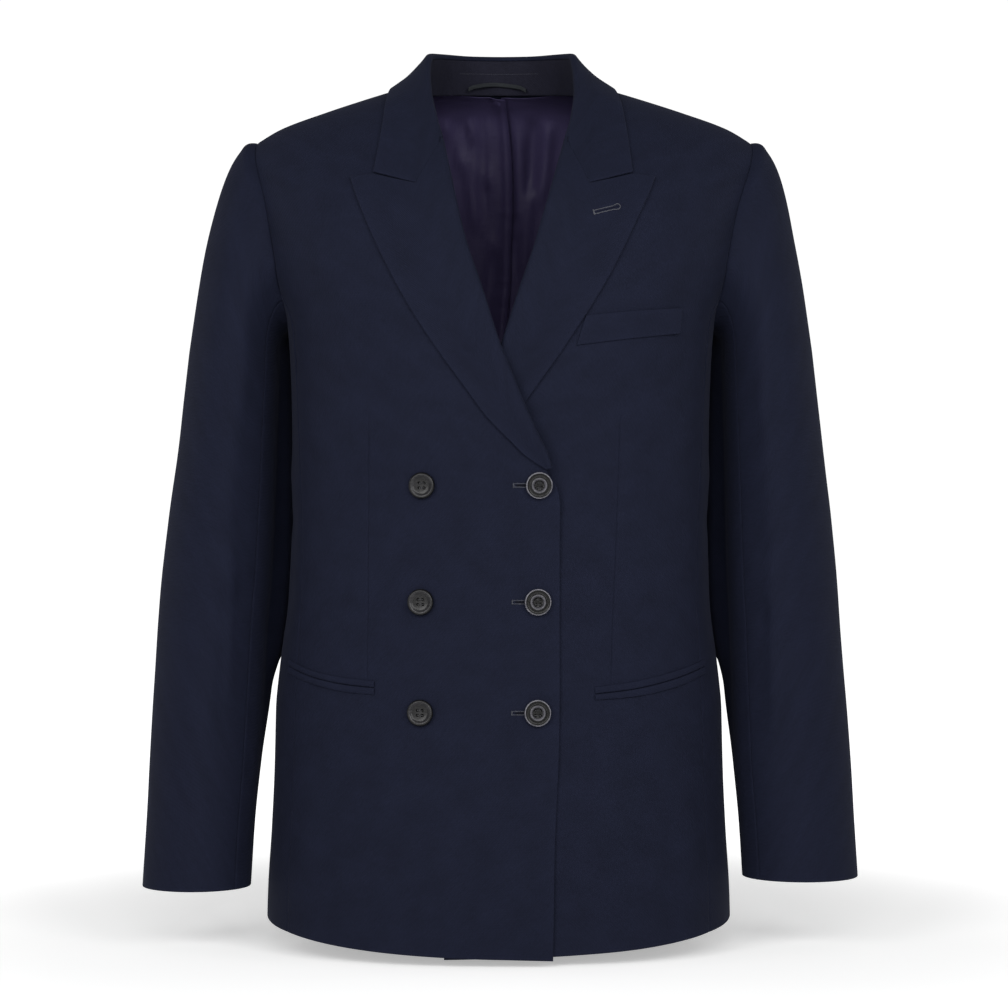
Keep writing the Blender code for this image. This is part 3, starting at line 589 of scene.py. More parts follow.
for side, word in SIDES:
    rows = in_turn((120, EDGE_STEPS, (), 0.55), (60, (), EDGE_STEPS, 0.17, 1.0, 2.0))
    base = spread(84, EDGE_STEPS, EDGE_STEPS, 0.20)
    clear = base[np.abs(base - DART_SHARE) > DART_WINDOW]
    base = np.unique(np.concatenate([clear, DART_SHARE + DART_STEPS]))
    rolled = smooth((rows - 0.50) / 0.06) * (1 - smooth((rows - 1.60) / 0.30))
    gap = SEAM_GAP / 2 + rolled * (ROLL_RADIUS + LAPEL_WALL / 2 + 0.0002)
    stages = [FRONT_LOW[side], FRONT_HIGH]
    trial, angle, drop = panel(stages, rows, base[None, :], start_gap=gap, end_gap=set_in(rows))
    dart_x = dart_line(side, trial[..., 2])
    shares = np.array([np.interp(0.0, t[:, 0] - d, base) for t, d in zip(trial, dart_x)])
    shares = np.where(rows < 1.0, shares, shares[rows < 1.0][-1])
    shares = np.convolve(np.pad(shares, 8, mode="edge"), np.ones(17) / 17, mode="valid")
    cols = np.stack([np.interp(base, [0, DART_SHARE, 1], [0, s, 1]) for s in shares])
    points, angle, drop = panel(stages, rows, cols, start_gap=gap, end_gap=set_in(rows))
    x, z = points[..., 0].copy(), points[..., 2].copy()
    dart_x = dart_line(side, z)
    inside = smooth((DART[side][0][0] - z) / 0.02) * smooth((z - DART[side][1][0]) / 0.004 + 0.5)
    groove = DART_GROOVE * np.exp(-(((x - dart_x) / DART_BREADTH) ** 2)) * inside
    groove = groove + pocket_bed(x, z, HIP_POCKET[side])
    folds = soft_folds(x + 0.004 * side, z + 0.006 * side, FRONT_FOLDS)
    folds = folds - DART_PULL * np.exp(-(((x - dart_x) / PULL_BREADTH) ** 2)) * inside
    if side > 0:
        points = points - form_normal(angle, drop) * press(x, z)[..., None]
    points[..., 2] -= HEM_SAG * np.sin(pi * cols) * (1 - smooth(rows / 0.3))[:, None]
    points[..., 0] *= side
    cloth_piece(f"forepart_{word}", points, WALL, (FREE, SEAM, FREE, SEAM), folds=folds, groove=groove)

# ---------------------------------------------------------------- side panels and back
# Behind each forepart a side panel runs from the armhole to the hem, and two back panels meet in a
# centre seam from the collar to the hem. All are wool twill, sewn edge to edge and pressed open.
BACK_SEAM = (  # angle round the body, height
    (108, -0.6850),
    (108, -0.632),
    (107.5, -0.525),
    (107, -0.420),
    (106, -0.348),
    (106, -0.312),
    (105.5, -0.290),
    (105, -0.262),
    (104.5, -0.205),
    (104, -0.165),
)
ARMHOLE_BACK = ((76, -0.165), (69.5, -0.148), (65.5, -0.118), (63.3, -0.088), (62.2, -0.068), (61.0, -0.052))
BACK_NECK = ((0.000, 0.0140), (0.030, 0.0135), (0.055, 0.0143))
CENTRE_SEAM = (-0.686, -0.632, -0.525, -0.42, -0.348, -0.312, -0.29, -0.262, -0.205, -0.150)
CENTRE_SEAM_TOP = (-0.150, -0.100, -0.050, 0.0140)
UNDERARM_DIP = 0.030
BACK_FOLDS = (  # from across, height, to across, height, half breadth, rise
    (0.030, -0.335, 0.130, -0.310, 0.013, 0.0011),
    (0.050, -0.372, 0.150, -0.350, 0.012, -0.0010),
    (0.140, -0.110, 0.125, -0.260, 0.018, -0.0022),
    (0.165, -0.150, 0.155, -0.300, 0.014, 0.0016),
    (0.030, -0.480, 0.050, -0.640, 0.022, 0.0012),
    (0.100, -0.470, 0.115, -0.660, 0.024, -0.0014),
    (0.150, -0.560, 0.155, -0.680, 0.016, 0.0010),
    (0.010, -0.060, 0.060, -0.090, 0.016, 0.0007),
)
SIDE_FOLDS = (  # from angle share, height, to angle share, height, half breadth, rise
    (0.020, -0.330, 0.110, -0.300, 0.012, 0.0010),
    (0.030, -0.360, 0.120, -0.345, 0.010, -0.0009),
    (0.050, -0.480, 0.070, -0.660, 0.018, -0.0012),
)

BACK_LOW = seam_rows([place(0.0, z, True) for z in CENTRE_SEAM], seam(BACK_SEAM))
BACK_MID = seam_rows([place(0.0, z, True) for z in CENTRE_SEAM_TOP], seam(ARMHOLE_BACK, True)[:4])
BACK_HIGH = seam_rows(
    [place(x, z, True) for x, z in BACK_NECK] + [ridge(NECK_POINT, True)],
    seam(ARMHOLE_BACK, True)[3:] + [ridge(SHOULDER_END, True)],
)
SIDE_ROWS = seam_rows(seam(FRONT_SEAM), seam(BACK_SEAM))

for side, word in SIDES:
    rows = spread(120, EDGE_STEPS, EDGE_STEPS, 0.53)
    cols = spread(40, EDGE_STEPS, EDGE_STEPS, 0.11)[None, :]
    points, angle, drop = panel([SIDE_ROWS], rows, cols, dip=UNDERARM_DIP, to_shoulder=False)
    folds = soft_folds((angle - 60) * 0.0025, points[..., 2], SIDE_FOLDS)
    points[..., 0] *= side
    cloth_piece(f"side_panel_{word}", points, WALL, (FREE, SEAM, SEAM, SEAM), folds=folds)
    rows = in_turn(
        (110, EDGE_STEPS, (), 0.54),
        (36, (), (), 0.16, 1.0, 2.0),
        (24, (), EDGE_STEPS, 0.07, 2.0, 3.0),
    )
    cols = spread(64, EDGE_STEPS, EDGE_STEPS, 0.18)[None, :]
    points, angle, drop = panel([BACK_LOW, BACK_MID, BACK_HIGH], rows, cols, end_gap=set_in(rows))
    folds = soft_folds(points[..., 0] + 0.005 * side, points[..., 2] + 0.004 * side, BACK_FOLDS)
    points[..., 0] *= side
    cloth_piece(f"back_{word}", points, WALL, (FREE, SEAM, SEAM, SEAM), folds=folds)

# ---------------------------------------------------------------- peak lapels
# Each lapel is the front's own edge faced with a second layer of twill and rolled back over soft
# canvas. Its peak points up past the end of the collar, to which it is sewn along the gorge.
LAPEL_HEIGHT = WALL / 2 + 0.0006 + LAPEL_WALL / 2
LAPEL = (  # roll line across, roll line height, outer edge across, outer edge height
    (0.0494, -0.0440, 0.1246, -0.0757),
    (0.0418, -0.0754, 0.1211, -0.0858),
    (0.0350, -0.1030, 0.1048, -0.1235),
    (0.0277, -0.1305, 0.0890, -0.1560),
    (0.0140, -0.1707, 0.0725, -0.1855),
    (0.0007, -0.2120, 0.0520, -0.2170),
    (-0.0125, -0.2450, 0.0336, -0.2425),
    (-0.0246, -0.2740, 0.0095, -0.2750),
    (-0.0320, -0.2895, -0.0080, -0.2925),
    (-0.0365, -0.2985, -0.0190, -0.3035),
    (-0.0400, -0.3080, -0.0310, -0.3120),
    (-0.0418, -0.3140, -0.0370, -0.3155),
)
LAPEL_TOP = ((0.0, 0.0494, -0.0439), (0.4, 0.0702, -0.0834), (0.75, 0.1057, -0.0745), (1.0, 0.1246, -0.0757))
LAPEL_ROLL_ROOM = 0.0034
LAPEL_TOP_WIDTH = 0.081
LAPEL_BUTTONHOLE = ((0.0744, -0.1080), (0.0954, -0.1024))


def off_form(angle, drop, out):
    """Points at distances over the body form."""
    return form(angle, drop) + form_normal(angle, drop) * np.asarray(out)[..., None]


def straight(table, at):
    """Columns of a table at places of its first column, on straight lines with sharp corners."""
    rows = np.array(table)
    return [np.interp(at, rows[:, 0], rows[:, k]) for k in range(1, rows.shape[1])]


def lapel_points(side, u, v):
    table = [(i / (len(LAPEL) - 1), *row) for i, row in enumerate(LAPEL)]
    roll_x, roll_z, edge_x, edge_z = (c[:, None] for c in reading(table, u))
    root = place(roll_x, roll_z)
    start, tip = form(*root), form(*place(edge_x, edge_z))
    near = reading(table, np.where(u < 0.9, u + 0.01, u - 0.01))
    line = unit(form(*place(near[0][:, None], near[1][:, None])) - start)
    reach = tip - start
    reach = unit(reach - line * (reach * line).sum(axis=-1, keepdims=True))
    width = np.linalg.norm(tip - start, axis=-1)
    radius = ROLL_RADIUS * np.minimum(1.0, 0.6 + width / 0.060)
    up = form_normal(*root)
    room = radius + LAPEL_WALL / 2
    turn = pi * np.minimum(v, 1.0)[None, :]
    pull = press if side > 0 else (lambda x, z: 0.0 * x)
    rolled = start + reach * (room - radius * np.sin(turn))[..., None]
    rolled = rolled + up * (radius - radius * np.cos(turn) - pull(start[..., 0], start[..., 2]))[..., None]
    share = room / width + (np.maximum(v, 1.0)[None, :] - 1) * (1 - room / width)
    top_x, top_z = straight(LAPEL_TOP, share)
    fade = (1 - u[:, None]) ** 8
    x = roll_x + (edge_x - roll_x) * share
    z = roll_z + (edge_z - roll_z) * share
    roll_top_x, roll_top_z, edge_top_x, edge_top_z = LAPEL[0]
    x = x + (top_x - (roll_top_x + (edge_top_x - roll_top_x) * share)) * fade
    z = z + (top_z - (roll_top_z + (edge_top_z - roll_top_z) * share)) * fade
    sink = smooth((v[None, :] - 1) / 0.6)
    height = 2 * radius * (1 - sink) + LAPEL_HEIGHT * sink - pull(x, z)
    flat = off_form(*place(x, z), height)
    return np.where((v < 1)[None, :, None], rolled, flat)


for side, word in SIDES:
    u = spread(150, EDGE_STEPS, EDGE_STEPS, 0.29)
    v = in_turn((12,), (56, (), EDGE_STEPS, 0.07, 1.0, 2.0))
    taken = LAPEL_ROLL_ROOM / LAPEL_TOP_WIDTH
    corner = 1 + (0.4 - taken) / (1 - taken)
    v[np.argmin(np.abs(v - corner))] = corner
    points = lapel_points(side, u, v)
    points[..., 0] *= side
    cloth_piece(f"lapel_{word}", points, LAPEL_WALL, (1 - smooth((v - corner) / 0.02), FREE, None, FREE))

# ---------------------------------------------------------------- collar
# The collar's leaf falls from a fold round the neck and is sewn to both lapels along the gorge. Its
# stand rises inside from the neck seam, with a row of stitches and a tape loop to hang it up by.
COLLAR_WALL = 0.0020
STAND_WALL = 0.0014
COLLAR_HEIGHT = WALL / 2 + 0.0007 + COLLAR_WALL / 2
COLLAR_FOLD = (  # across, depth, height
    (0.0000, 0.0740, 0.0487),
    (0.0220, 0.0690, 0.0482),
    (0.0430, 0.0500, 0.0465),
    (0.0550, 0.0280, 0.0438),
    (0.0597, 0.0060, 0.0395),
    (0.0602, -0.0120, 0.0270),
    (0.0594, -0.0370, 0.0049),
)
COLLAR_EDGE_BACK = ((0.000, 0.0040), (0.035, 0.0040), (0.065, 0.0045), (0.084, 0.0062))
COLLAR_EDGE_SIDE = 0.0925
COLLAR_EDGE_FRONT = ((0.0975, -0.0080), (0.1005, -0.0310), (0.1057, -0.0720))
COLLAR_END = ((0.0, 0.0494, -0.0437), (0.4, 0.0702, -0.0832), (1.0, 0.1057, -0.0727))
STAND_REACH = 0.70
STAND_FOOT = (  # place along the collar from the middle, height of the stand's lower edge
    (0.0, 0.0142),
    (0.1, 0.0135),
    (0.2, 0.0121),
    (0.3, 0.0100),
    (0.4, 0.0073),
    (0.5, 0.0052),
    (0.6, 0.0035),
    (1.0, -0.0100),
)
STITCH_HEIGHT = 0.62
STITCH_COUNT = 40
STITCH_START, STITCH_SPAN = -0.19, 0.36
STITCH_SHARES = np.array([0.14, 0.32, 0.5, 0.68, 0.86])
STITCH_THICKNESS = (0.00008, 0.00022, 0.00026, 0.00022, 0.00008)
COLLAR_END_WIDTH = 0.0632
LOOP = ((-0.0290, 0.0172), (-0.0240, 0.0200), (-0.0045, 0.0235), (0.0150, 0.0205), (0.0209, 0.0172))
LOOP_WIDTH = 0.0036
LOOP_WALL = 0.0010
STAND_HALF_RUN = 0.145


def over(x, z, out, behind=False):
    """Points over the body form at distances from the middle and heights."""
    return off_form(*place(x, z, behind), out)


def by_length(points):
    """A table whose first column is the share of length along a line of points."""
    points = np.array(points, float)
    run = np.concatenate([[0.0], np.cumsum(np.linalg.norm(np.diff(points, axis=0), axis=-1))])
    return np.column_stack([run / run[-1], points])


def both_sides(points):
    """Table of a line and its mirror image, from -1 at the far right to 1 at the far left."""
    table = by_length(points)
    mirrored = table[:0:-1].copy()
    mirrored[:, :2] *= -1
    return np.vstack([mirrored, table])


NECK = both_sides(
    [form(*place(x, z, True)) for x, z in BACK_NECK]
    + [form(*ridge(NECK_POINT))]
    + [form(*place(*p)) for p in ((0.0680, 0.0040), (0.0635, -0.0110), (0.0530, -0.0440))]
)
FOLD_END = ((0.0546, -0.0247), (0.0495, -0.0435))
FOLD = both_sides(list(COLLAR_FOLD) + [over(*p, ROLL_RADIUS) for p in FOLD_END])
EDGE = both_sides(
    [over(x, z, COLLAR_HEIGHT, True) for x, z in COLLAR_EDGE_BACK]
    + [off_form(*ridge(COLLAR_EDGE_SIDE), COLLAR_HEIGHT)]
    + [over(x, z, COLLAR_HEIGHT) for x, z in COLLAR_EDGE_FRONT]
)


def body_tree():
    """Nearest-point search over the body form, shoulders and neck."""
    angles = np.linspace(-180, 180, 241)
    drops = np.concatenate([np.linspace(0, 1, 41), [1.1, 1.2, 1.3]])
    points = form(angles[:, None], drops[None, :]).reshape(-1, 3)
    n = len(drops)
    faces = [
        (i * n + j, i * n + j + 1, (i + 1) * n + j + 1, (i + 1) * n + j)
        for i in range(len(angles) - 1)
        for j in range(n - 1)
    ]
    return BVHTree.FromPolygons(points.tolist(), faces)


NEAREST = body_tree()


def clear_of_body(points, clearance):
    """Points moved out softly until they lie a clearance over the body form."""
    moved = points.reshape(-1, 3).copy()
    for k, point in enumerate(moved):
        spot, facing, _, _ = NEAREST.find_nearest(point)
        facing = facing if facing.dot(spot - Vector((0.0, 0.0, -0.12))) > 0 else -facing
        short = clearance - (Vector(point) - spot).dot(facing)
        push = 0.5 * (short + (short * short + 0.0006**2) ** 0.5)
        moved[k] = point + np.array(facing) * push
    return moved.reshape(points.shape)


def row_at(table, at):
    return np.stack(reading(table, at), axis=-1)


def collar_frame(u):
    """Fold, edge and neck points with the directions down the collar and out from the neck."""
    fold, edge, neck = (row_at(t, u) for t in (FOLD, EDGE, NECK))
    ahead = unit(row_at(FOLD, np.minimum(u + 0.01, 1.0)) - row_at(FOLD, np.maximum(u - 0.01, -1.0)))
    down = unit(edge - fold) + (neck - fold) * 14
    down = unit(down - ahead * (down * ahead).sum(axis=-1, keepdims=True))
    return [a[:, None, :] for a in (fold, edge, neck, down, np.cross(ahead, down))]


def curve(start, first, second, end, t):
    """Points along a curve from start to end that leans to its two handles."""
    return start * (1 - t) ** 3 + first * 3 * t * (1 - t) ** 2 + second * 3 * t * t * (1 - t) + end * t**3


def collar_points(u, v):
    fold, edge, _, down, out = collar_frame(u)
    room = ROLL_RADIUS + COLLAR_WALL / 2
    middle = fold + down * room
    turn = pi * np.minimum(v, 1.0)[None, :, None]
    rolled = middle - out * ROLL_RADIUS * np.cos(turn) - down * ROLL_RADIUS * np.sin(turn)
    t = np.maximum(v - 1, 0.0)[None, :, None]
    start = middle + out * ROLL_RADIUS
    reach = np.linalg.norm(edge - start, axis=-1, keepdims=True)
    away = (edge - start) / reach
    second = start + (down * 0.6 + away * 0.4) * reach * 0.25
    third = edge - (away * 0.95 - out * 0.10) * reach * 0.33
    leaf = curve(start, second, third, edge, t)
    taken = room / np.linalg.norm(edge - fold, axis=-1)
    x, z = straight(COLLAR_END, taken + t[..., 0] * (1 - taken))
    sink = smooth(t[..., 0] / 0.6)
    wanted = off_form(*place(x, z), 2 * ROLL_RADIUS * (1 - sink) + COLLAR_HEIGHT * sink)
    wanted[..., 0] *= np.sign(u)[:, None]
    fade = (np.maximum(0.0, (np.abs(u) - 0.80) / 0.20) ** 2)[:, None, None]
    leaf = clear_of_body(leaf + (wanted - leaf) * fade, COLLAR_HEIGHT - 0.0003)
    return np.where((v < 1)[None, :, None], rolled, leaf)


def stand_points(u, v):
    fold, _, neck, down, out = collar_frame(u)
    top = fold + down * (ROLL_RADIUS + COLLAR_WALL / 2 + 0.0004) - out * ROLL_RADIUS
    inward = unit(neck * np.array([-1.0, -1.0, 0.0]))
    foot = neck + inward * 0.0033
    foot[..., 2] = reading(STAND_FOOT, np.abs(u))[0][:, None]
    return foot + (top - foot) * v[None, :, None]


def tube(path, radius, closed=False, sides=8, flatten=1.0, up=None):
    """Points and faces of a round thread or bar swept along a path."""
    path = np.array(path, float)
    count = len(path)
    ahead = np.roll(path, -1, axis=0) - np.roll(path, 1, axis=0) if closed else np.gradient(path, axis=0)
    ahead = unit(ahead)
    up = np.broadcast_to(np.array([0.0, -1.0, 0.0]) if up is None else up, path.shape)
    across = unit(np.cross(ahead, up))
    high = np.cross(across, ahead)
    turns = np.linspace(0, 2 * pi, sides, endpoint=False)
    radius = np.broadcast_to(np.asarray(radius, float), (count,))
    ring = across[:, None] * np.cos(turns)[None, :, None]
    ring = ring + high[:, None] * np.sin(turns)[None, :, None] * flatten
    points = path[:, None] + ring * radius[:, None, None]
    faces = []
    for i in range(count if closed else count - 1):
        j = (i + 1) % count
        for k in range(sides):
            m = (k + 1) % sides
            faces.append((i * sides + k, i * sides + m, j * sides + m, j * sides + k))
    if not closed:
        faces.append(tuple(range(sides))[::-1])
        faces.append(tuple((count - 1) * sides + k for k in range(sides)))
    return points.reshape(-1, 3), faces


def joined(name, parts, look):
    """One piece made of several closed bodies, each given by its points and faces."""
    points, faces = [], []
    for some_points, some_faces in parts:
        start = len(points)
        points += lean(np.asarray(some_points)).tolist()
        faces += [tuple(start + k for k in face) for face in some_faces]
    piece = new_piece(name, points, faces)
    piece.data.materials.append(look)
    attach(piece, "root")
    return piece


def thread(name, colour):
    """Twisted sewing silk: a fine slanting ply, with painted highlight on its crowns and painted shade
    between them.
    """
    made, tree, shader = material(name, {"Roughness": 0.55, "Sheen Weight": 0.25})
    where = node(tree, "TexCoord")["Object"]
    waves = {"Vector": where, "Scale": 900.0, "Distortion": 1.5}
    ply = node(tree, "TexWave", waves, bands_direction="DIAGONAL")[1]
    # Colour follows the ply's relief: painted highlight on the crowns, painted shade in the grooves.
    tone = mixed(tree, ply, [0.6 * c for c in colour], [1.3 * c for c in colour])
    wire(tree, shader, {"Base Color": tone, "Normal": raised(tree, ply, 0.6, 0.00008)})
    return made


NAVY_THREAD = thread("navy silk", (0.018, 0.021, 0.037))
GREY_THREAD = thread("grey buttonhole silk", (0.048, 0.050, 0.066))
TAPE_RIB = {"sheen": 0.03, "lift": 0.00016}
TAPE = wool("navy tape", (0.0085, 0.0084, 0.0150), (0.0145, 0.0145, 0.0250), **TAPE_RIB)
LOOP_TAPE = wool("grey loop tape", (0.0150, 0.0165, 0.0190), (0.0240, 0.0265, 0.0300), **TAPE_RIB)

u = spread(260, EDGE_STEPS, EDGE_STEPS, 0.36, -1.0, 1.0)
v = in_turn((12,), (48, (), EDGE_STEPS, 0.06, 1.0, 2.0))
taken = (ROLL_RADIUS + COLLAR_WALL / 2) / COLLAR_END_WIDTH
corner = 1 + (0.4 - taken) / (1 - taken)
v[np.argmin(np.abs(v - corner))] = corner
gorge = 1 - smooth((v - corner) / 0.02)
cloth_piece("collar_leaf", collar_points(u, v), COLLAR_WALL, (gorge, gorge, None, FREE))
u = spread(150, EDGE_STEPS, EDGE_STEPS, 0.25, -STAND_REACH, STAND_REACH)
cloth_piece(
    "collar_stand",
    stand_points(u, spread(20)),
    STAND_WALL,
    (FREE, FREE, None, None),
    TAPE,
)

stitches = []
for k in range(STITCH_COUNT):
    ends = STITCH_START + STITCH_SPAN * (k + STITCH_SHARES) / STITCH_COUNT
    line = stand_points(ends, np.array([STITCH_HEIGHT]))[:, 0]
    line = line + unit(line * np.array([-1.0, -1.0, 0.0])) * (STAND_WALL / 2 + 0.0001)
    stitches.append(tube(line, STITCH_THICKNESS, up=(0, 0, 1), sides=6))
joined("collar_stand_stitches", stitches, NAVY_THREAD)

run = spread(48)
x, z = reading(by_length(LOOP), run)
z = z[:, None] + (spread(8)[None, :] - 0.5) * LOOP_WIDTH
low, high = (stand_points(np.abs(x) / STAND_HALF_RUN, np.array([end])) for end in (0.0, 1.0))
y = low[..., 1] + (high[..., 1] - low[..., 1]) * (z - low[..., 2]) / (high[..., 2] - low[..., 2])
y = y - STAND_WALL / 2 - 0.0008 - 0.0011 * np.sin(pi * run)[:, None] ** 0.7
cloth_piece(
    "hanger_loop",
    np.stack([np.broadcast_to(x[:, None], z.shape), y, z], axis=-1),
    LOOP_WALL,
    (None, None, FREE, FREE),
    LOOP_TAPE,
    outward=np.array([0.0, -0.2, 0.02]),
)

# ---------------------------------------------------------------- back lining
# Two panels of navy satin, felled inside the back and joined in a loose centre pleat that lets the
# back stretch. Satin of this weight creases softly and puckers beside its seams.
LINING_WALL = 0.0006
LINING_DEPTH = 0.0055
LINING_TOP_DEPTH = 0.0020
FOLD_STRENGTH = 1.6
PUCKER = 0.00075
PLEAT_OVER, PLEAT_UNDER = 0.0054, 0.0034
PLEAT = (  # height, how far the pleat runs off the middle
    (-0.690, 0.0000),
    (-0.201, 0.0003),
    (-0.135, 0.0043),
    (-0.096, 0.0043),
    (-0.023, 0.0012),
    (0.020, -0.0022),
)
LINING_FOLDS = (  # from across, height, to across, height, half breadth, rise
    (-0.042, 0.006, -0.026, -0.031, 0.0030, 0.0034),
    (-0.026, -0.028, -0.017, -0.069, 0.0028, 0.0038),
    (-0.018, -0.064, -0.010, -0.112, 0.0026, 0.0034),
    (-0.034, 0.000, -0.019, -0.060, 0.0048, -0.0046),
    (-0.018, -0.050, -0.009, -0.120, 0.0040, -0.0036),
    (-0.012, 0.000, -0.010, -0.080, 0.0034, -0.0026),
    (-0.052, -0.004, -0.038, -0.046, 0.0050, -0.0034),
    (-0.036, -0.036, -0.024, -0.100, 0.0045, -0.0030),
    (-0.046, 0.004, -0.044, -0.040, 0.0034, 0.0028),
    (0.028, -0.004, 0.019, -0.066, 0.0042, 0.0034),
    (0.042, -0.004, 0.030, -0.076, 0.0050, -0.0034),
    (0.014, -0.012, 0.011, -0.100, 0.0040, -0.0030),
    (0.024, -0.060, 0.014, -0.140, 0.0040, -0.0028),
    (0.010, -0.110, 0.014, -0.190, 0.0040, 0.0024),
    (-0.012, -0.120, -0.015, -0.200, 0.0040, 0.0026),
    (-0.060, -0.060, -0.040, -0.140, 0.0070, 0.0024),
    (0.062, -0.070, 0.050, -0.150, 0.0070, 0.0024),
    (0.040, -0.300, 0.130, -0.290, 0.0100, 0.0016),
    (-0.130, -0.330, -0.030, -0.350, 0.0100, 0.0016),
    (0.050, -0.420, 0.060, -0.600, 0.0120, 0.0018),
    (-0.070, -0.440, -0.060, -0.620, 0.0120, -0.0016),
)


def satin_group():
    """Fine satin: floating threads along the cloth, with faint creases across it."""
    tree, given, out = group("satin floats", [("Cut", "Vector", None)], ("Height", "Streak"))
    drawn = stretched(tree, given["Cut"], (2600, 120, 1))
    threads = node(tree, "TexNoise", {"Vector": drawn, "Scale": 1.0, "Detail": 2.0})[0]
    loose = stretched(tree, given["Cut"], (90, 260, 1))
    rumple = node(tree, "TexNoise", {"Vector": loose, "Scale": 1.0, "Detail": 3.0, "Distortion": 0.6})[0]
    height = maths(tree, "ADD", threads, maths(tree, "MULTIPLY", rumple, 3.0))
    wire(tree, out, {"Height": height, "Streak": threads})
    return tree


def satin(name, dark, light):
    made, tree, shader = material(
        name, {"Specular IOR Level": 0.10, "Sheen Weight": 0.03, "Sheen Roughness": 0.3}
    )
    cut = node(tree, "UVMap", uv_map="cut")[0]
    weave = node(tree, "Group", {"Cut": cut}, node_tree=satin_group())
    streak = weave["Streak"]
    wire(tree, shader, {
        "Base Color": mixed(tree, streak, dark, light),
        "Roughness": ranged(tree, streak, 0.3, 0.7, 0.36, 0.50),
        "Normal": raised(tree, weave["Height"], 0.5, 0.00016),
    })
    return made


SATIN = satin("navy satin lining", (0.0310, 0.0250, 0.0630), (0.0510, 0.0420, 0.0980))

for side, word in SIDES:
    rows = in_turn(
        (90, EDGE_STEPS, (), 0.5, 0.03, 1.0),
        (36, (), (), 0.16, 1.0, 2.0),
        (16, (), EDGE_STEPS, 0.05, 2.0, 2.96),
    )
    cols = spread(84, EDGE_STEPS, EDGE_STEPS, 0.18)[None, :]
    over_seam = -0.0018 if side < 0 else 0.0002
    stages = [BACK_LOW, BACK_MID, BACK_HIGH]
    points, angle, drop = panel(stages, rows, cols, start_gap=over_seam, end_gap=0.004)
    flush = smooth((points[..., 2] + 0.022) / 0.028)
    depth = LINING_DEPTH + (LINING_TOP_DEPTH - LINING_DEPTH) * flush
    points = points - form_normal(angle, drop) * depth[..., None]
    x, z = points[..., 0] * side, points[..., 2]
    folds = FOLD_STRENGTH * soft_folds(x, z, LINING_FOLDS) * (1 - smooth((z + 0.014) / 0.012))
    wave = np.sin(z * 520 + 2.2 * np.sin(z * 97)) * (0.6 + 0.4 * np.sin(z * 61 + side))
    folds = folds + PUCKER * wave * np.exp(-(((np.abs(x) - 0.004) / 0.007) ** 2))
    if side < 0:
        folds = folds - PLEAT_OVER * smooth(1 - (np.abs(x) - 0.0005) / 0.008)
    else:
        folds = folds + PLEAT_UNDER * smooth(1 - (np.abs(x) - 0.003) / 0.005)
    folds = np.minimum(folds, depth - WALL / 2 - 0.0005)
    points[..., 0] = x + reading(PLEAT, z)[0] * np.exp(-((x / 0.045) ** 2))
    cloth_piece(
        f"lining_back_{word}",
        points,
        LINING_WALL,
        (FREE, FREE, FREE, FREE),
        SATIN,
        folds=folds,
    )

# ---------------------------------------------------------------- sleeves
# Two-piece sleeves: a top sleeve over the outside and front of the arm, an under sleeve next to the
# body. The head is eased into the armhole over a soft roll of wadding, so it stands up a little.
SLEEVE_TUBE = (  # height, centre across, centre depth, half width, half depth
    (-0.215, 0.2246, 0.002, 0.0382, 0.0620),
    (-0.280, 0.2272, 0.000, 0.0430, 0.0610),
    (-0.357, 0.2320, -0.002, 0.0484, 0.0590),
    (-0.420, 0.2359, -0.006, 0.0504, 0.0570),
    (-0.497, 0.2410, -0.013, 0.0500, 0.0550),
    (-0.560, 0.2468, -0.020, 0.0477, 0.0510),
    (-0.612, 0.2504, -0.026, 0.0463, 0.0480),
    (-0.664, 0.2532, -0.032, 0.0461, 0.0450),
)
BICEPS_HEIGHT = -0.215
CUFF_HEIGHT = {-1: -0.6625, 1: -0.6545}
CUFF_FULLNESS = {-1: -0.0015, 1: 0.0015}
FORE_SEAM_ANGLE = 140
HIND_SEAM_ANGLE = 240
DEGREE_LENGTH = 0.00092
HEAD_REACH, HEAD_FLOW, HEAD_EASE = 0.145, 0.56, -0.015
ROPING, ROPING_PLACE, ROPING_BREADTH = 0.0016, 0.008, 0.005
HUG_BREADTH = 0.007
HUG_CLEARANCE = 0.0021
HUG_SQUARENESS = 3.4
INSIDE_EASE = (  # height, how far the inner front of the sleeve stands off its oval
    (-0.165, 0.0000),
    (-0.215, 0.0015),
    (-0.280, 0.0050),
    (-0.343, 0.0072),
    (-0.430, 0.0080),
    (-0.500, 0.0060),
    (-0.570, 0.0010),
    (-0.664, 0.0000),
)
SLEEVE_FOLDS = (  # from place round the sleeve, height, to place, height, half breadth, rise
    (0.050, -0.395, 0.115, -0.372, 0.012, -0.0012),
    (0.045, -0.425, 0.120, -0.410, 0.010, 0.0010),
    (0.060, -0.455, 0.125, -0.430, 0.010, -0.0010),
    (0.095, -0.390, 0.108, -0.520, 0.008, 0.0011),
    (0.085, -0.420, 0.098, -0.560, 0.009, -0.0010),
    (0.020, -0.120, 0.010, -0.300, 0.018, 0.0009),
    (0.070, -0.130, 0.085, -0.260, 0.012, -0.0014),
    (0.085, -0.150, 0.100, -0.280, 0.010, 0.0010),
    (-0.050, -0.140, -0.060, -0.280, 0.014, -0.0014),
    (-0.080, -0.390, -0.020, -0.410, 0.012, -0.0014),
    (-0.090, -0.430, -0.030, -0.440, 0.012, 0.0012),
    (-0.040, -0.540, -0.030, -0.640, 0.014, 0.0009),
)
SIDE_FROM, SIDE_TO = FRONT_SEAM[-1][0], BACK_SEAM[-1][0]


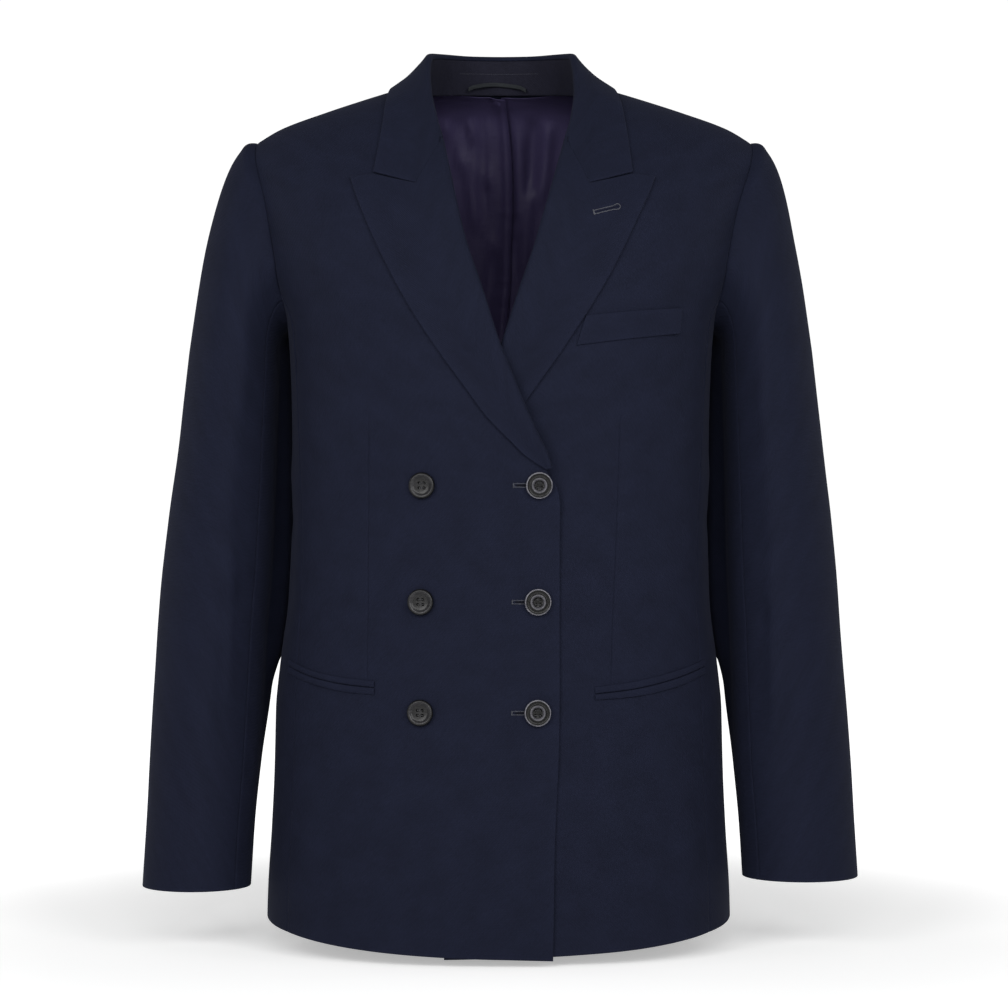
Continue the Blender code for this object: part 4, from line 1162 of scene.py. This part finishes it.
def armhole_ring():
    """Armhole from the shoulder down the front, under the arm and up the back, by length."""
    front = reading(FRONT_HIGH, 1 - spread(24))[2:]
    share = spread(16)[1:-1]
    under = SIDE_FROM + (SIDE_TO - SIDE_FROM) * share
    low = panel([SIDE_ROWS], np.array([1.0]), share[None, :], dip=UNDERARM_DIP, to_shoulder=False)[0]
    middle = reading(BACK_MID, spread(12))[2:]
    high = reading(BACK_HIGH, spread(12)[1:])[2:]
    angles = np.concatenate([front[0], under, middle[0], high[0]])
    drops = np.concatenate([front[1], drop_at(under, low[0, :, 2]), middle[1], high[1]])
    return by_length(off_form(angles, drops, 0.0001 + 0.0 * angles))


ARMHOLE = armhole_ring()


def body_side(y, z):
    """Half width of the body form at depths and heights, below the shoulder rounding."""
    half, front, back = reading(BODY, z)
    share = np.minimum(1.0, np.abs(y) / np.where(y > 0, back, front))
    return half * (1 - share**SQUARENESS) ** (1 / SQUARENESS) - side_hollow(y, z)


def sleeve_tube(side, theta, z):
    across, deep, half, depth = reading(SLEEVE_TUBE, z)
    half = half + CUFF_FULLNESS[side] * smooth((-0.40 - z) / 0.20)
    turn = np.radians(theta)
    across, deep, half, depth, z = np.broadcast_arrays(across, deep, half, depth, z + 0 * turn)
    behind = smooth((np.mod(theta, 360) - 172) / 24)
    stand_off = reading(INSIDE_EASE, z)[0] * smooth(-np.cos(turn) / 0.6) * (1 - behind)
    x, y = across + half * np.cos(turn) + stand_off, deep - depth * np.sin(turn)
    square = (1 - np.abs(np.sin(turn)) ** HUG_SQUARENESS) ** (1 / HUG_SQUARENESS)
    inner = across - half * square + HUG_BREADTH * np.cos(turn)
    least = body_side(y, z) + HUG_CLEARANCE
    inner = 0.5 * (inner + least + np.sqrt((inner - least) ** 2 + 0.0008**2))
    hug = smooth((z + 0.500) / 0.035) * smooth(-np.cos(turn) / 0.25) * behind
    return np.stack([x + (inner - x) * hug, y, z], axis=-1)


def sleeve_points(side, u, theta):
    theta = theta[None, :]
    length = CUFF_HEIGHT[side] - BICEPS_HEIGHT
    hanging = sleeve_tube(side, theta, BICEPS_HEIGHT + length * (u[u >= 1] - 1)[:, None])
    t = u[u < 1][:, None, None]
    start = row_at(ARMHOLE, (theta / 360) % 1.0)
    end = sleeve_tube(side, theta, np.full((1, 1), BICEPS_HEIGHT))
    reach = np.linalg.norm(end - start, axis=-1, keepdims=True)
    away = np.broadcast_to(np.array([1.0, 0.0, 0.07]), start.shape).copy()
    away[..., 1] += start[..., 1] * 7
    first = start + unit(away) * reach * HEAD_REACH
    flow = unit(end - sleeve_tube(side, theta, np.full((1, 1), BICEPS_HEIGHT - 0.02)))
    ease = np.zeros_like(flow)
    ease[..., 0] = HEAD_EASE * np.cos(np.radians(theta))
    second = end + (flow * HEAD_FLOW + ease) * reach
    return np.concatenate([curve(start, first, second, end, t), hanging])


for side, word in SIDES:
    rows = in_turn((60, EDGE_STEPS, (), 0.16), (90, (), EDGE_STEPS, 0.44, 1.0, 2.0))
    for part, low, high, count in (
        ("top", HIND_SEAM_ANGLE - 360, FORE_SEAM_ANGLE, 110),
        ("under", FORE_SEAM_ANGLE, HIND_SEAM_ANGLE, 44),
    ):
        theta = spread(count, EDGE_STEPS, EDGE_STEPS, DEGREE_LENGTH, low + 0.10, high - 0.10)
        points = sleeve_points(side, rows, theta)
        from_seam = border_distances(points)[0]
        crown = smooth(1.35 - np.abs(theta) / 75)[None, :] if part == "top" else 0.0
        roping = ROPING * np.exp(-(((from_seam - ROPING_PLACE) / ROPING_BREADTH) ** 2)) * crown
        round_it = theta[None, :] * DEGREE_LENGTH + 0.003 * side
        folds = soft_folds(round_it, points[..., 2] + 0.01 * side, SLEEVE_FOLDS)
        axis_x, axis_y = reading(SLEEVE_TUBE, points[..., 2])[:2]
        axis = np.stack([axis_x * side, axis_y, points[..., 2]], axis=-1)
        points[..., 0] *= side
        cloth_piece(
            f"{part}_sleeve_{word}",
            points,
            WALL,
            (SEAM, FREE, SEAM, SEAM),
            folds=folds + roping,
            outward=axis,
        )

# ---------------------------------------------------------------- pockets
# A slanted welt stands up on the left breast. Each hip pocket is jetted: two narrow folded lips of
# the same twill lie level in the front and meet over the pocket's mouth.
WELT_WALL = 0.0014
WELT_BELLY = 0.0005
LIP_GAP, LIP_HEIGHT, LIP_CROWN = 0.0004, 0.0009, 0.0006
CHEST_WELT = ((0.0622, -0.2150), (0.1452, -0.2040), (0.1480, -0.1829), (0.0700, -0.1905))


def front_patch(side, x, z, out):
    pull = press(x, z) if side > 0 else 0.0
    points = over(x, z, out - pull)
    points[..., 0] *= side
    return points


across = spread(60, EDGE_STEPS, EDGE_STEPS, 0.083)[None, :]
up = spread(20, EDGE_STEPS, EDGE_STEPS, 0.022)[:, None]
low_in, low_out, high_out, high_in = (np.array(c) for c in CHEST_WELT)
low_edge = low_in + (low_out - low_in) * across[..., None]
high_edge = high_in + (high_out - high_in) * across[..., None]
spot = low_edge + (high_edge - low_edge) * up[..., None]
proud = WALL / 2 + 0.0001 + WELT_WALL / 2 + WELT_BELLY * smooth(up / 0.8) * np.sin(pi * across)
cloth_piece(
    "chest_welt",
    front_patch(1, spot[..., 0], spot[..., 1], proud),
    WELT_WALL,
    (FREE, FREE, FREE, FREE),
)

for side, word in SIDES:
    table = HIP_POCKET[side]
    first, last = table[0][0], table[-1][0]
    length = last - first
    x = (first + length * spread(70, EDGE_STEPS, EDGE_STEPS, length))[None, :]
    share = spread(12, EDGE_STEPS, EDGE_STEPS, 0.006)[:, None]
    top, mouth, low = reading(table, x)
    for part, start, end in (("upper", mouth + LIP_GAP, top), ("lower", low, mouth - LIP_GAP)):
        z = start + (end - start) * share
        crown = LIP_CROWN * np.sin(pi * share)
        cloth_piece(
            f"hip_welt_{part}_{word}",
            front_patch(side, np.broadcast_to(x, z.shape), z, LIP_HEIGHT + crown),
            WELT_WALL,
            (FREE, FREE, FREE, FREE),
        )

# ---------------------------------------------------------------- buttonholes
# Each fastened button passes a worked hole in the right front: a slit edged in silk with a bar tack
# at its inner end. The left lapel carries a keyhole in paler silk, which is never fastened.
BUTTON_ROWS = ((-0.328, "upper"), (-0.422, "middle"), (-0.511, "lower"))
BUTTONHOLE_START = 0.0108
BUTTONHOLE_END = 0.0350


def worked_hole(name, start, end, lift, silk, slot="wool", half=0.0014, eye=0.0, slit=0.7, cord=0.00036):
    """Outline of close silk stitches, a dark sheet of painted shade in its slit and a bar across its end."""
    start, end = np.array(start), np.array(end)
    length = np.linalg.norm(end - start)
    along = (end - start) / length
    aside = np.array([-along[1], along[0]])

    def laid(flat, rise):
        return over(flat[:, 0], flat[:, 1], rise + 0.0 * flat[:, 0])

    turns = np.linspace(-0.5, 0.5, 13) * pi
    far_radius = half + eye
    run = np.linspace(half, length - 2.5 * far_radius, 30)[1:]
    line = [(half - half * cos(t), half * sin(t)) for t in turns] + [(r, half) for r in run]
    line += [(length - far_radius + far_radius * cos(t), -far_radius * sin(t)) for t in turns]
    line += [(r, -half) for r in np.linspace(length - 2.5 * far_radius, half, 30)[:-1]]
    line = np.array(line)
    flat = start + line[:, :1] * along + line[:, 1:] * aside
    ring = laid(flat, lift)
    purl = cord * (1 + 0.22 * np.sin(np.arange(len(ring)) * 2.4))
    bar = laid(start + np.linspace(-1.5, 1.5, 9)[:, None] * half * aside, lift + 0.0002)
    edging = [
        tube(ring, purl, closed=True, up=unit(laid(flat, lift + 0.001) - ring), flatten=0.8),
        tube(bar, [0.0002, *[0.0005] * 7, 0.0002], up=(1, 0, 0)),
    ]
    joined(name, edging, silk)
    # The slit is filled with a thin dark sheet: painted shade where the opening falls in shadow.
    middle = start + np.linspace(0.10, 0.93, 20)[:, None] * length * along
    gap = laid(middle, lift - 0.0001)
    width = slit * half * np.sin(np.linspace(0.12, pi - 0.12, 20)) ** 0.35
    toward = unit(laid(middle, lift + 0.001) - gap)
    joined(f"{name}_slit", [tube(gap, width, up=toward, flatten=0.12)], PAINTED_SHADE_SLIT)


# Very dark wool for the slit's sheet: painted shade, not a colour of the cloth.
PAINTED_SHADE_SLIT = wool("painted shade in slit", (0.0026, 0.0030, 0.0060), (0.0045, 0.0050, 0.0100), sheen=0.0)

for height, word in BUTTON_ROWS:
    worked_hole(
        f"buttonhole_{word}",
        (BUTTONHOLE_START, height),
        (BUTTONHOLE_END, height),
        WALL / 2 + 0.0003,
        NAVY_THREAD,
    )
worked_hole(
    "lapel_buttonhole",
    *LAPEL_BUTTONHOLE,
    LAPEL_HEIGHT + LAPEL_WALL / 2 + 0.0002,
    GREY_THREAD,
    half=0.0015,
    eye=0.0008,
    slit=0.16,
    cord=0.00034,
)

# ---------------------------------------------------------------- buttons
# Turned buttons of dark horn on thread shanks: three four-hole ones that only show, with a raised
# rim, and three that fasten, with a thin rim and an inner ring round a well of thread. Their tone
# is painted light: highlights on the raised rims and rings, shade in the hollows and at the edge.
FASTENED_COLUMN = 0.0314
SHOW_COLUMN = -0.0625
BUTTON_LIFT = 0.0012
SHOW_PROFILE = (  # distance from the axis, height
    (0.0000, 0.0022),
    (0.0040, 0.0023),
    (0.0062, 0.0026),
    (0.0072, 0.0031),
    (0.0080, 0.0037),
    (0.0090, 0.0040),
    (0.0100, 0.0035),
    (0.0105, 0.0026),
    (0.01075, 0.0018),
)
FASTENED_PROFILE = (
    (0.0000, 0.0012),
    (0.0030, 0.0013),
    (0.0042, 0.0018),
    (0.0050, 0.0032),
    (0.0058, 0.0036),
    (0.0066, 0.0032),
    (0.0074, 0.0026),
    (0.0086, 0.0027),
    (0.0096, 0.0033),
    (0.0103, 0.0031),
    (0.01075, 0.0018),
)
# Share of the radius, strength of the tone there: painted highlights on the raised rims and rings, painted
# shade in the hollows and at the edge.
SHOW_PAINTED_LIGHT_BANDS = ((0.0, 0.5), (0.58, 0.4), (0.72, 0.9), (0.84, 0.5), (0.97, 0.2))
FASTENED_PAINTED_LIGHT_BANDS = (
    (0.0, 0.2), (0.36, 0.2), (0.45, 3.2), (0.55, 2.2), (0.62, 0.25), (0.90, 0.3), (0.95, 6.5), (1.0, 4.5),
)
STRONGEST_PAINTED_LIGHT_BAND = 8.0
HOLE_RADIUS = 0.00105
HOLE_SPREAD = 0.0020
HOLE_FLOOR = 0.0004
UNDERSIDE = ((0.985, 0.0009), (0.94, 0.0003), (0.80, 0.0), (0.3, 0.0))  # share of the radius, height
STRAND_GAP = 0.0004
STRAND_RADIUS = 0.00017
SHANK_RADII = (0.0019, 0.0017, 0.0015, 0.0015, 0.0017, 0.0019)


def horn(name, dark, light, rough, painted_light_bands):
    """Polished horn: cloudy streaks, and rings of painted highlight and painted shade from the middle out."""
    made, tree, shader = material(
        name, {"Specular IOR Level": 0.32, "Coat Weight": 0.10, "Coat Roughness": 0.20}
    )
    where = node(tree, "TexCoord")["Object"]
    drawn = stretched(tree, where, (260, 90, 620))
    cloud = node(tree, "TexNoise", {"Vector": drawn, "Scale": 1.0, "Detail": 5.0, "Distortion": 0.9})[0]
    tone = mixed(tree, ranged(tree, cloud, 0.35, 0.7, 0.0, 1.0), dark, light)
    # Tone by distance from the middle: painted highlights on raised rims and rings, painted shade in hollows
    # and at the edge.
    ring = tree.nodes.new("ShaderNodeFloatCurve")
    points = ring.mapping.curves[0].points
    points[0].location = (painted_light_bands[0][0], painted_light_bands[0][1] / STRONGEST_PAINTED_LIGHT_BAND)
    points[1].location = (painted_light_bands[-1][0], painted_light_bands[-1][1] / STRONGEST_PAINTED_LIGHT_BAND)
    for at, strength in painted_light_bands[1:-1]:
        points.new(at, strength / STRONGEST_PAINTED_LIGHT_BAND)
    ring.mapping.update()
    wire(tree, ring.inputs, {"Value": node(tree, "Attribute", attribute_name="ring")["Fac"]})
    fine = node(tree, "TexNoise", {"Vector": where, "Scale": 1900.0, "Detail": 2.0})[0]
    wire(tree, shader, {
        "Base Color": scaled(tree, tone, maths(tree, "MULTIPLY", ring.outputs[0], STRONGEST_PAINTED_LIGHT_BAND)),
        "Roughness": ranged(tree, fine, 0.3, 0.7, rough - 0.07, rough + 0.09),
        "Normal": raised(tree, fine, 0.3, 0.00003),
    })
    return made


SHOW_HORN = horn("dark horn", (0.012, 0.012, 0.014), (0.034, 0.033, 0.036), 0.36, SHOW_PAINTED_LIGHT_BANDS)
FASTENED_HORN = horn("rimmed dark horn", (0.018, 0.018, 0.021), (0.040, 0.039, 0.044), 0.32, FASTENED_PAINTED_LIGHT_BANDS)
BUTTON_THREAD = thread("dark button thread", (0.007, 0.008, 0.013))


def disc_faces(rings, sides):
    """Faces of a disc: rings of points round a first point in its middle."""
    faces = [(0, 1 + k, 1 + (k + 1) % sides) for k in range(sides)]
    for r in range(rings - 1):
        a, b = 1 + r * sides, 1 + (r + 1) * sides
        for k in range(sides):
            m = (k + 1) % sides
            faces.append((a + k, b + k, b + m, a + m))
    return faces


def button(name, x, z, profile, look, sides=72, rings=46):
    """Turned button with four drilled holes, its thread and shank."""
    spot = place(x, z)
    axis = form_normal(*spot)
    centre = form(*spot) + axis * (WALL / 2 + BUTTON_LIFT)
    right = unit(np.array([1.0, 0.0, 0.0]) - axis * axis[0])
    up = np.cross(axis, right)
    edge, thickness = profile[-1][0], profile[0][1]
    radii = np.linspace(0, edge, rings)[1:]
    turns = np.linspace(0, 2 * pi, sides, endpoint=False)
    a, b = radii[:, None] * np.cos(turns), radii[:, None] * np.sin(turns)
    height = reading(profile, radii)[0][:, None] + 0 * a
    for p, q in ((1, 1), (1, -1), (-1, 1), (-1, -1)):
        away = np.hypot(a - p * HOLE_SPREAD, b - q * HOLE_SPREAD)
        height = height - (thickness - HOLE_FLOOR) * smooth((HOLE_RADIUS - away) / 0.00022 + 0.5)
    low_radii, low_height = edge * np.array(UNDERSIDE)[:, 0], np.array(UNDERSIDE)[:, 1]
    a = np.vstack([a, low_radii[:, None] * np.cos(turns)])
    b = np.vstack([b, low_radii[:, None] * np.sin(turns)])
    height = np.vstack([height, low_height[:, None] + 0 * turns])
    ring = centre + a[..., None] * right + b[..., None] * up + height[..., None] * axis
    points = np.vstack([[centre + axis * thickness], ring.reshape(-1, 3), [centre]])
    last, base = len(points) - 1, 1 + (len(a) - 1) * sides
    faces = disc_faces(len(a), sides) + [(last, base + (k + 1) % sides, base + k) for k in range(sides)]
    piece = joined(f"{name}_turned", [(points, faces)], look)
    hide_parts(name)
    note(piece, "ring", np.concatenate([[0.0], np.hypot(a, b).ravel() / edge, [0.0]]))
    threads = []
    for q in (-1, 1):
        for strand in (-STRAND_GAP / 2, STRAND_GAP / 2):
            t = np.linspace(-1, 1, 15)[:, None]
            rise = thickness + 0.00045 - 0.0016 * np.abs(t) ** 6
            line = centre + right * t * HOLE_SPREAD + up * (q * HOLE_SPREAD + strand) + axis * rise
            threads.append(tube(line, STRAND_RADIUS, up=axis, sides=6))
    stem = centre + axis * np.linspace(-BUTTON_LIFT - 0.0002, 0.0002, 6)[:, None]
    threads.append(tube(stem, SHANK_RADII, up=right, sides=16))
    joined(f"{name}_thread", threads, BUTTON_THREAD)


for height, word in BUTTON_ROWS:
    for kind, column, profile, horn_look in (
        ("fastened_button", FASTENED_COLUMN, FASTENED_PROFILE, FASTENED_HORN),
        ("show_button", SHOW_COLUMN, SHOW_PROFILE, SHOW_HORN),
    ):
        button(f"{kind}_{word}", column, height, profile, horn_look)

# ---------------------------------------------------------------- floor, light and camera
# A plain white studio sweep just under the hem, an even light all round, and broad soft boxes in
# front, above and to both sides.
FLOOR_HEIGHT = -0.7150
WHITE = 0.90
FILL = 0.17
BACKING = 1.05
SPOKES = 64
GLOW_FROM_TO = (0.79, 1.12)
GLOW_LEVELS = (0.40, 0.95)

reaches = [0.1 * 1.55**k for k in range(12)]
turns = [2 * pi * k / SPOKES for k in range(SPOKES)]
floor_points = [(0.0, 0.0, FLOOR_HEIGHT)]
floor_points += [(r * cos(t), r * sin(t), FLOOR_HEIGHT) for r in reaches for t in turns]
floor = new_piece("studio_floor", floor_points, disc_faces(len(reaches), SPOKES))
paper, tree, shader = material(
    "white studio paper", {"Roughness": 0.95, "Specular IOR Level": 0.0, "Emission Color": (1, 1, 1, 1)}
)
reach = node(tree, "VectorMath", {0: node(tree, "TexCoord")["Object"]}, operation="LENGTH")["Value"]
far_glow = ranged(tree, reach, *GLOW_FROM_TO, *GLOW_LEVELS, interpolation_type="SMOOTHSTEP")
seen = node(tree, "LightPath")["Is Camera Ray"]
grain = node(tree, "TexNoise", {"Scale": 300.0, "Detail": 4.0})[0]
wire(tree, shader, {
    "Base Color": mixed(tree, grain, [WHITE - 0.01] * 3, [WHITE + 0.01] * 3),
    "Emission Strength": maths(tree, "MULTIPLY", far_glow, seen),
})
floor.data.materials.append(paper)

world = bpy.data.worlds.new("studio")
bpy.context.scene.world = world
world.use_nodes = True
tree = world.node_tree
backing = tree.nodes["Background"]
backing.inputs["Color"].default_value = (1, 1, 1, 1)
seen = node(tree, "LightPath")["Is Camera Ray"]
wire(tree, backing.inputs, {"Strength": ranged(tree, seen, 0.0, 1.0, FILL, BACKING)})


SOFT_BOXES = (  # name, where it stands, how far off the middle it aims, size, power
    ("left_box", (1.45, -2.45, 0.60), 0.0, (1.3, 1.8), 37.0),
    ("right_box", (-1.45, -2.45, 0.60), 0.0, (1.3, 1.8), 38.0),
    ("front_box", (0.0, -2.9, 1.0), 0.0, (1.2, 1.0), 23.0),
    ("left_rim_box", (2.3, 0.7, 0.2), 0.2, (0.8, 2.0), 8.0),
    ("right_rim_box", (-2.3, 0.7, 0.2), -0.2, (0.8, 2.0), 9.0),
)
for name, stands, aside, size, power in SOFT_BOXES:
    lamp = bpy.data.lights.new(name, "AREA")
    lamp.shape = "RECTANGLE"
    lamp.size, lamp.size_y = size
    lamp.energy = power
    thing = bpy.data.objects.new(name, lamp)
    thing.location = stands
    aim = Vector((aside, 0.0, -0.35)) - Vector(stands)
    thing.rotation_euler = aim.to_track_quat("-Z", "Y").to_euler()
    bpy.context.scene.collection.objects.link(thing)

lens = bpy.data.cameras.new("studio_camera")
lens.lens = 100.84
lens.sensor_width = 36.0
camera = bpy.data.objects.new("studio_camera", lens)
camera.location = (0.0025, -2.4, -0.343)
camera.rotation_euler = (radians(90), 0.0, 0.0)
bpy.context.scene.collection.objects.link(camera)
bpy.context.scene.camera = camera
bpy.context.scene.view_settings.view_transform = "Standard"
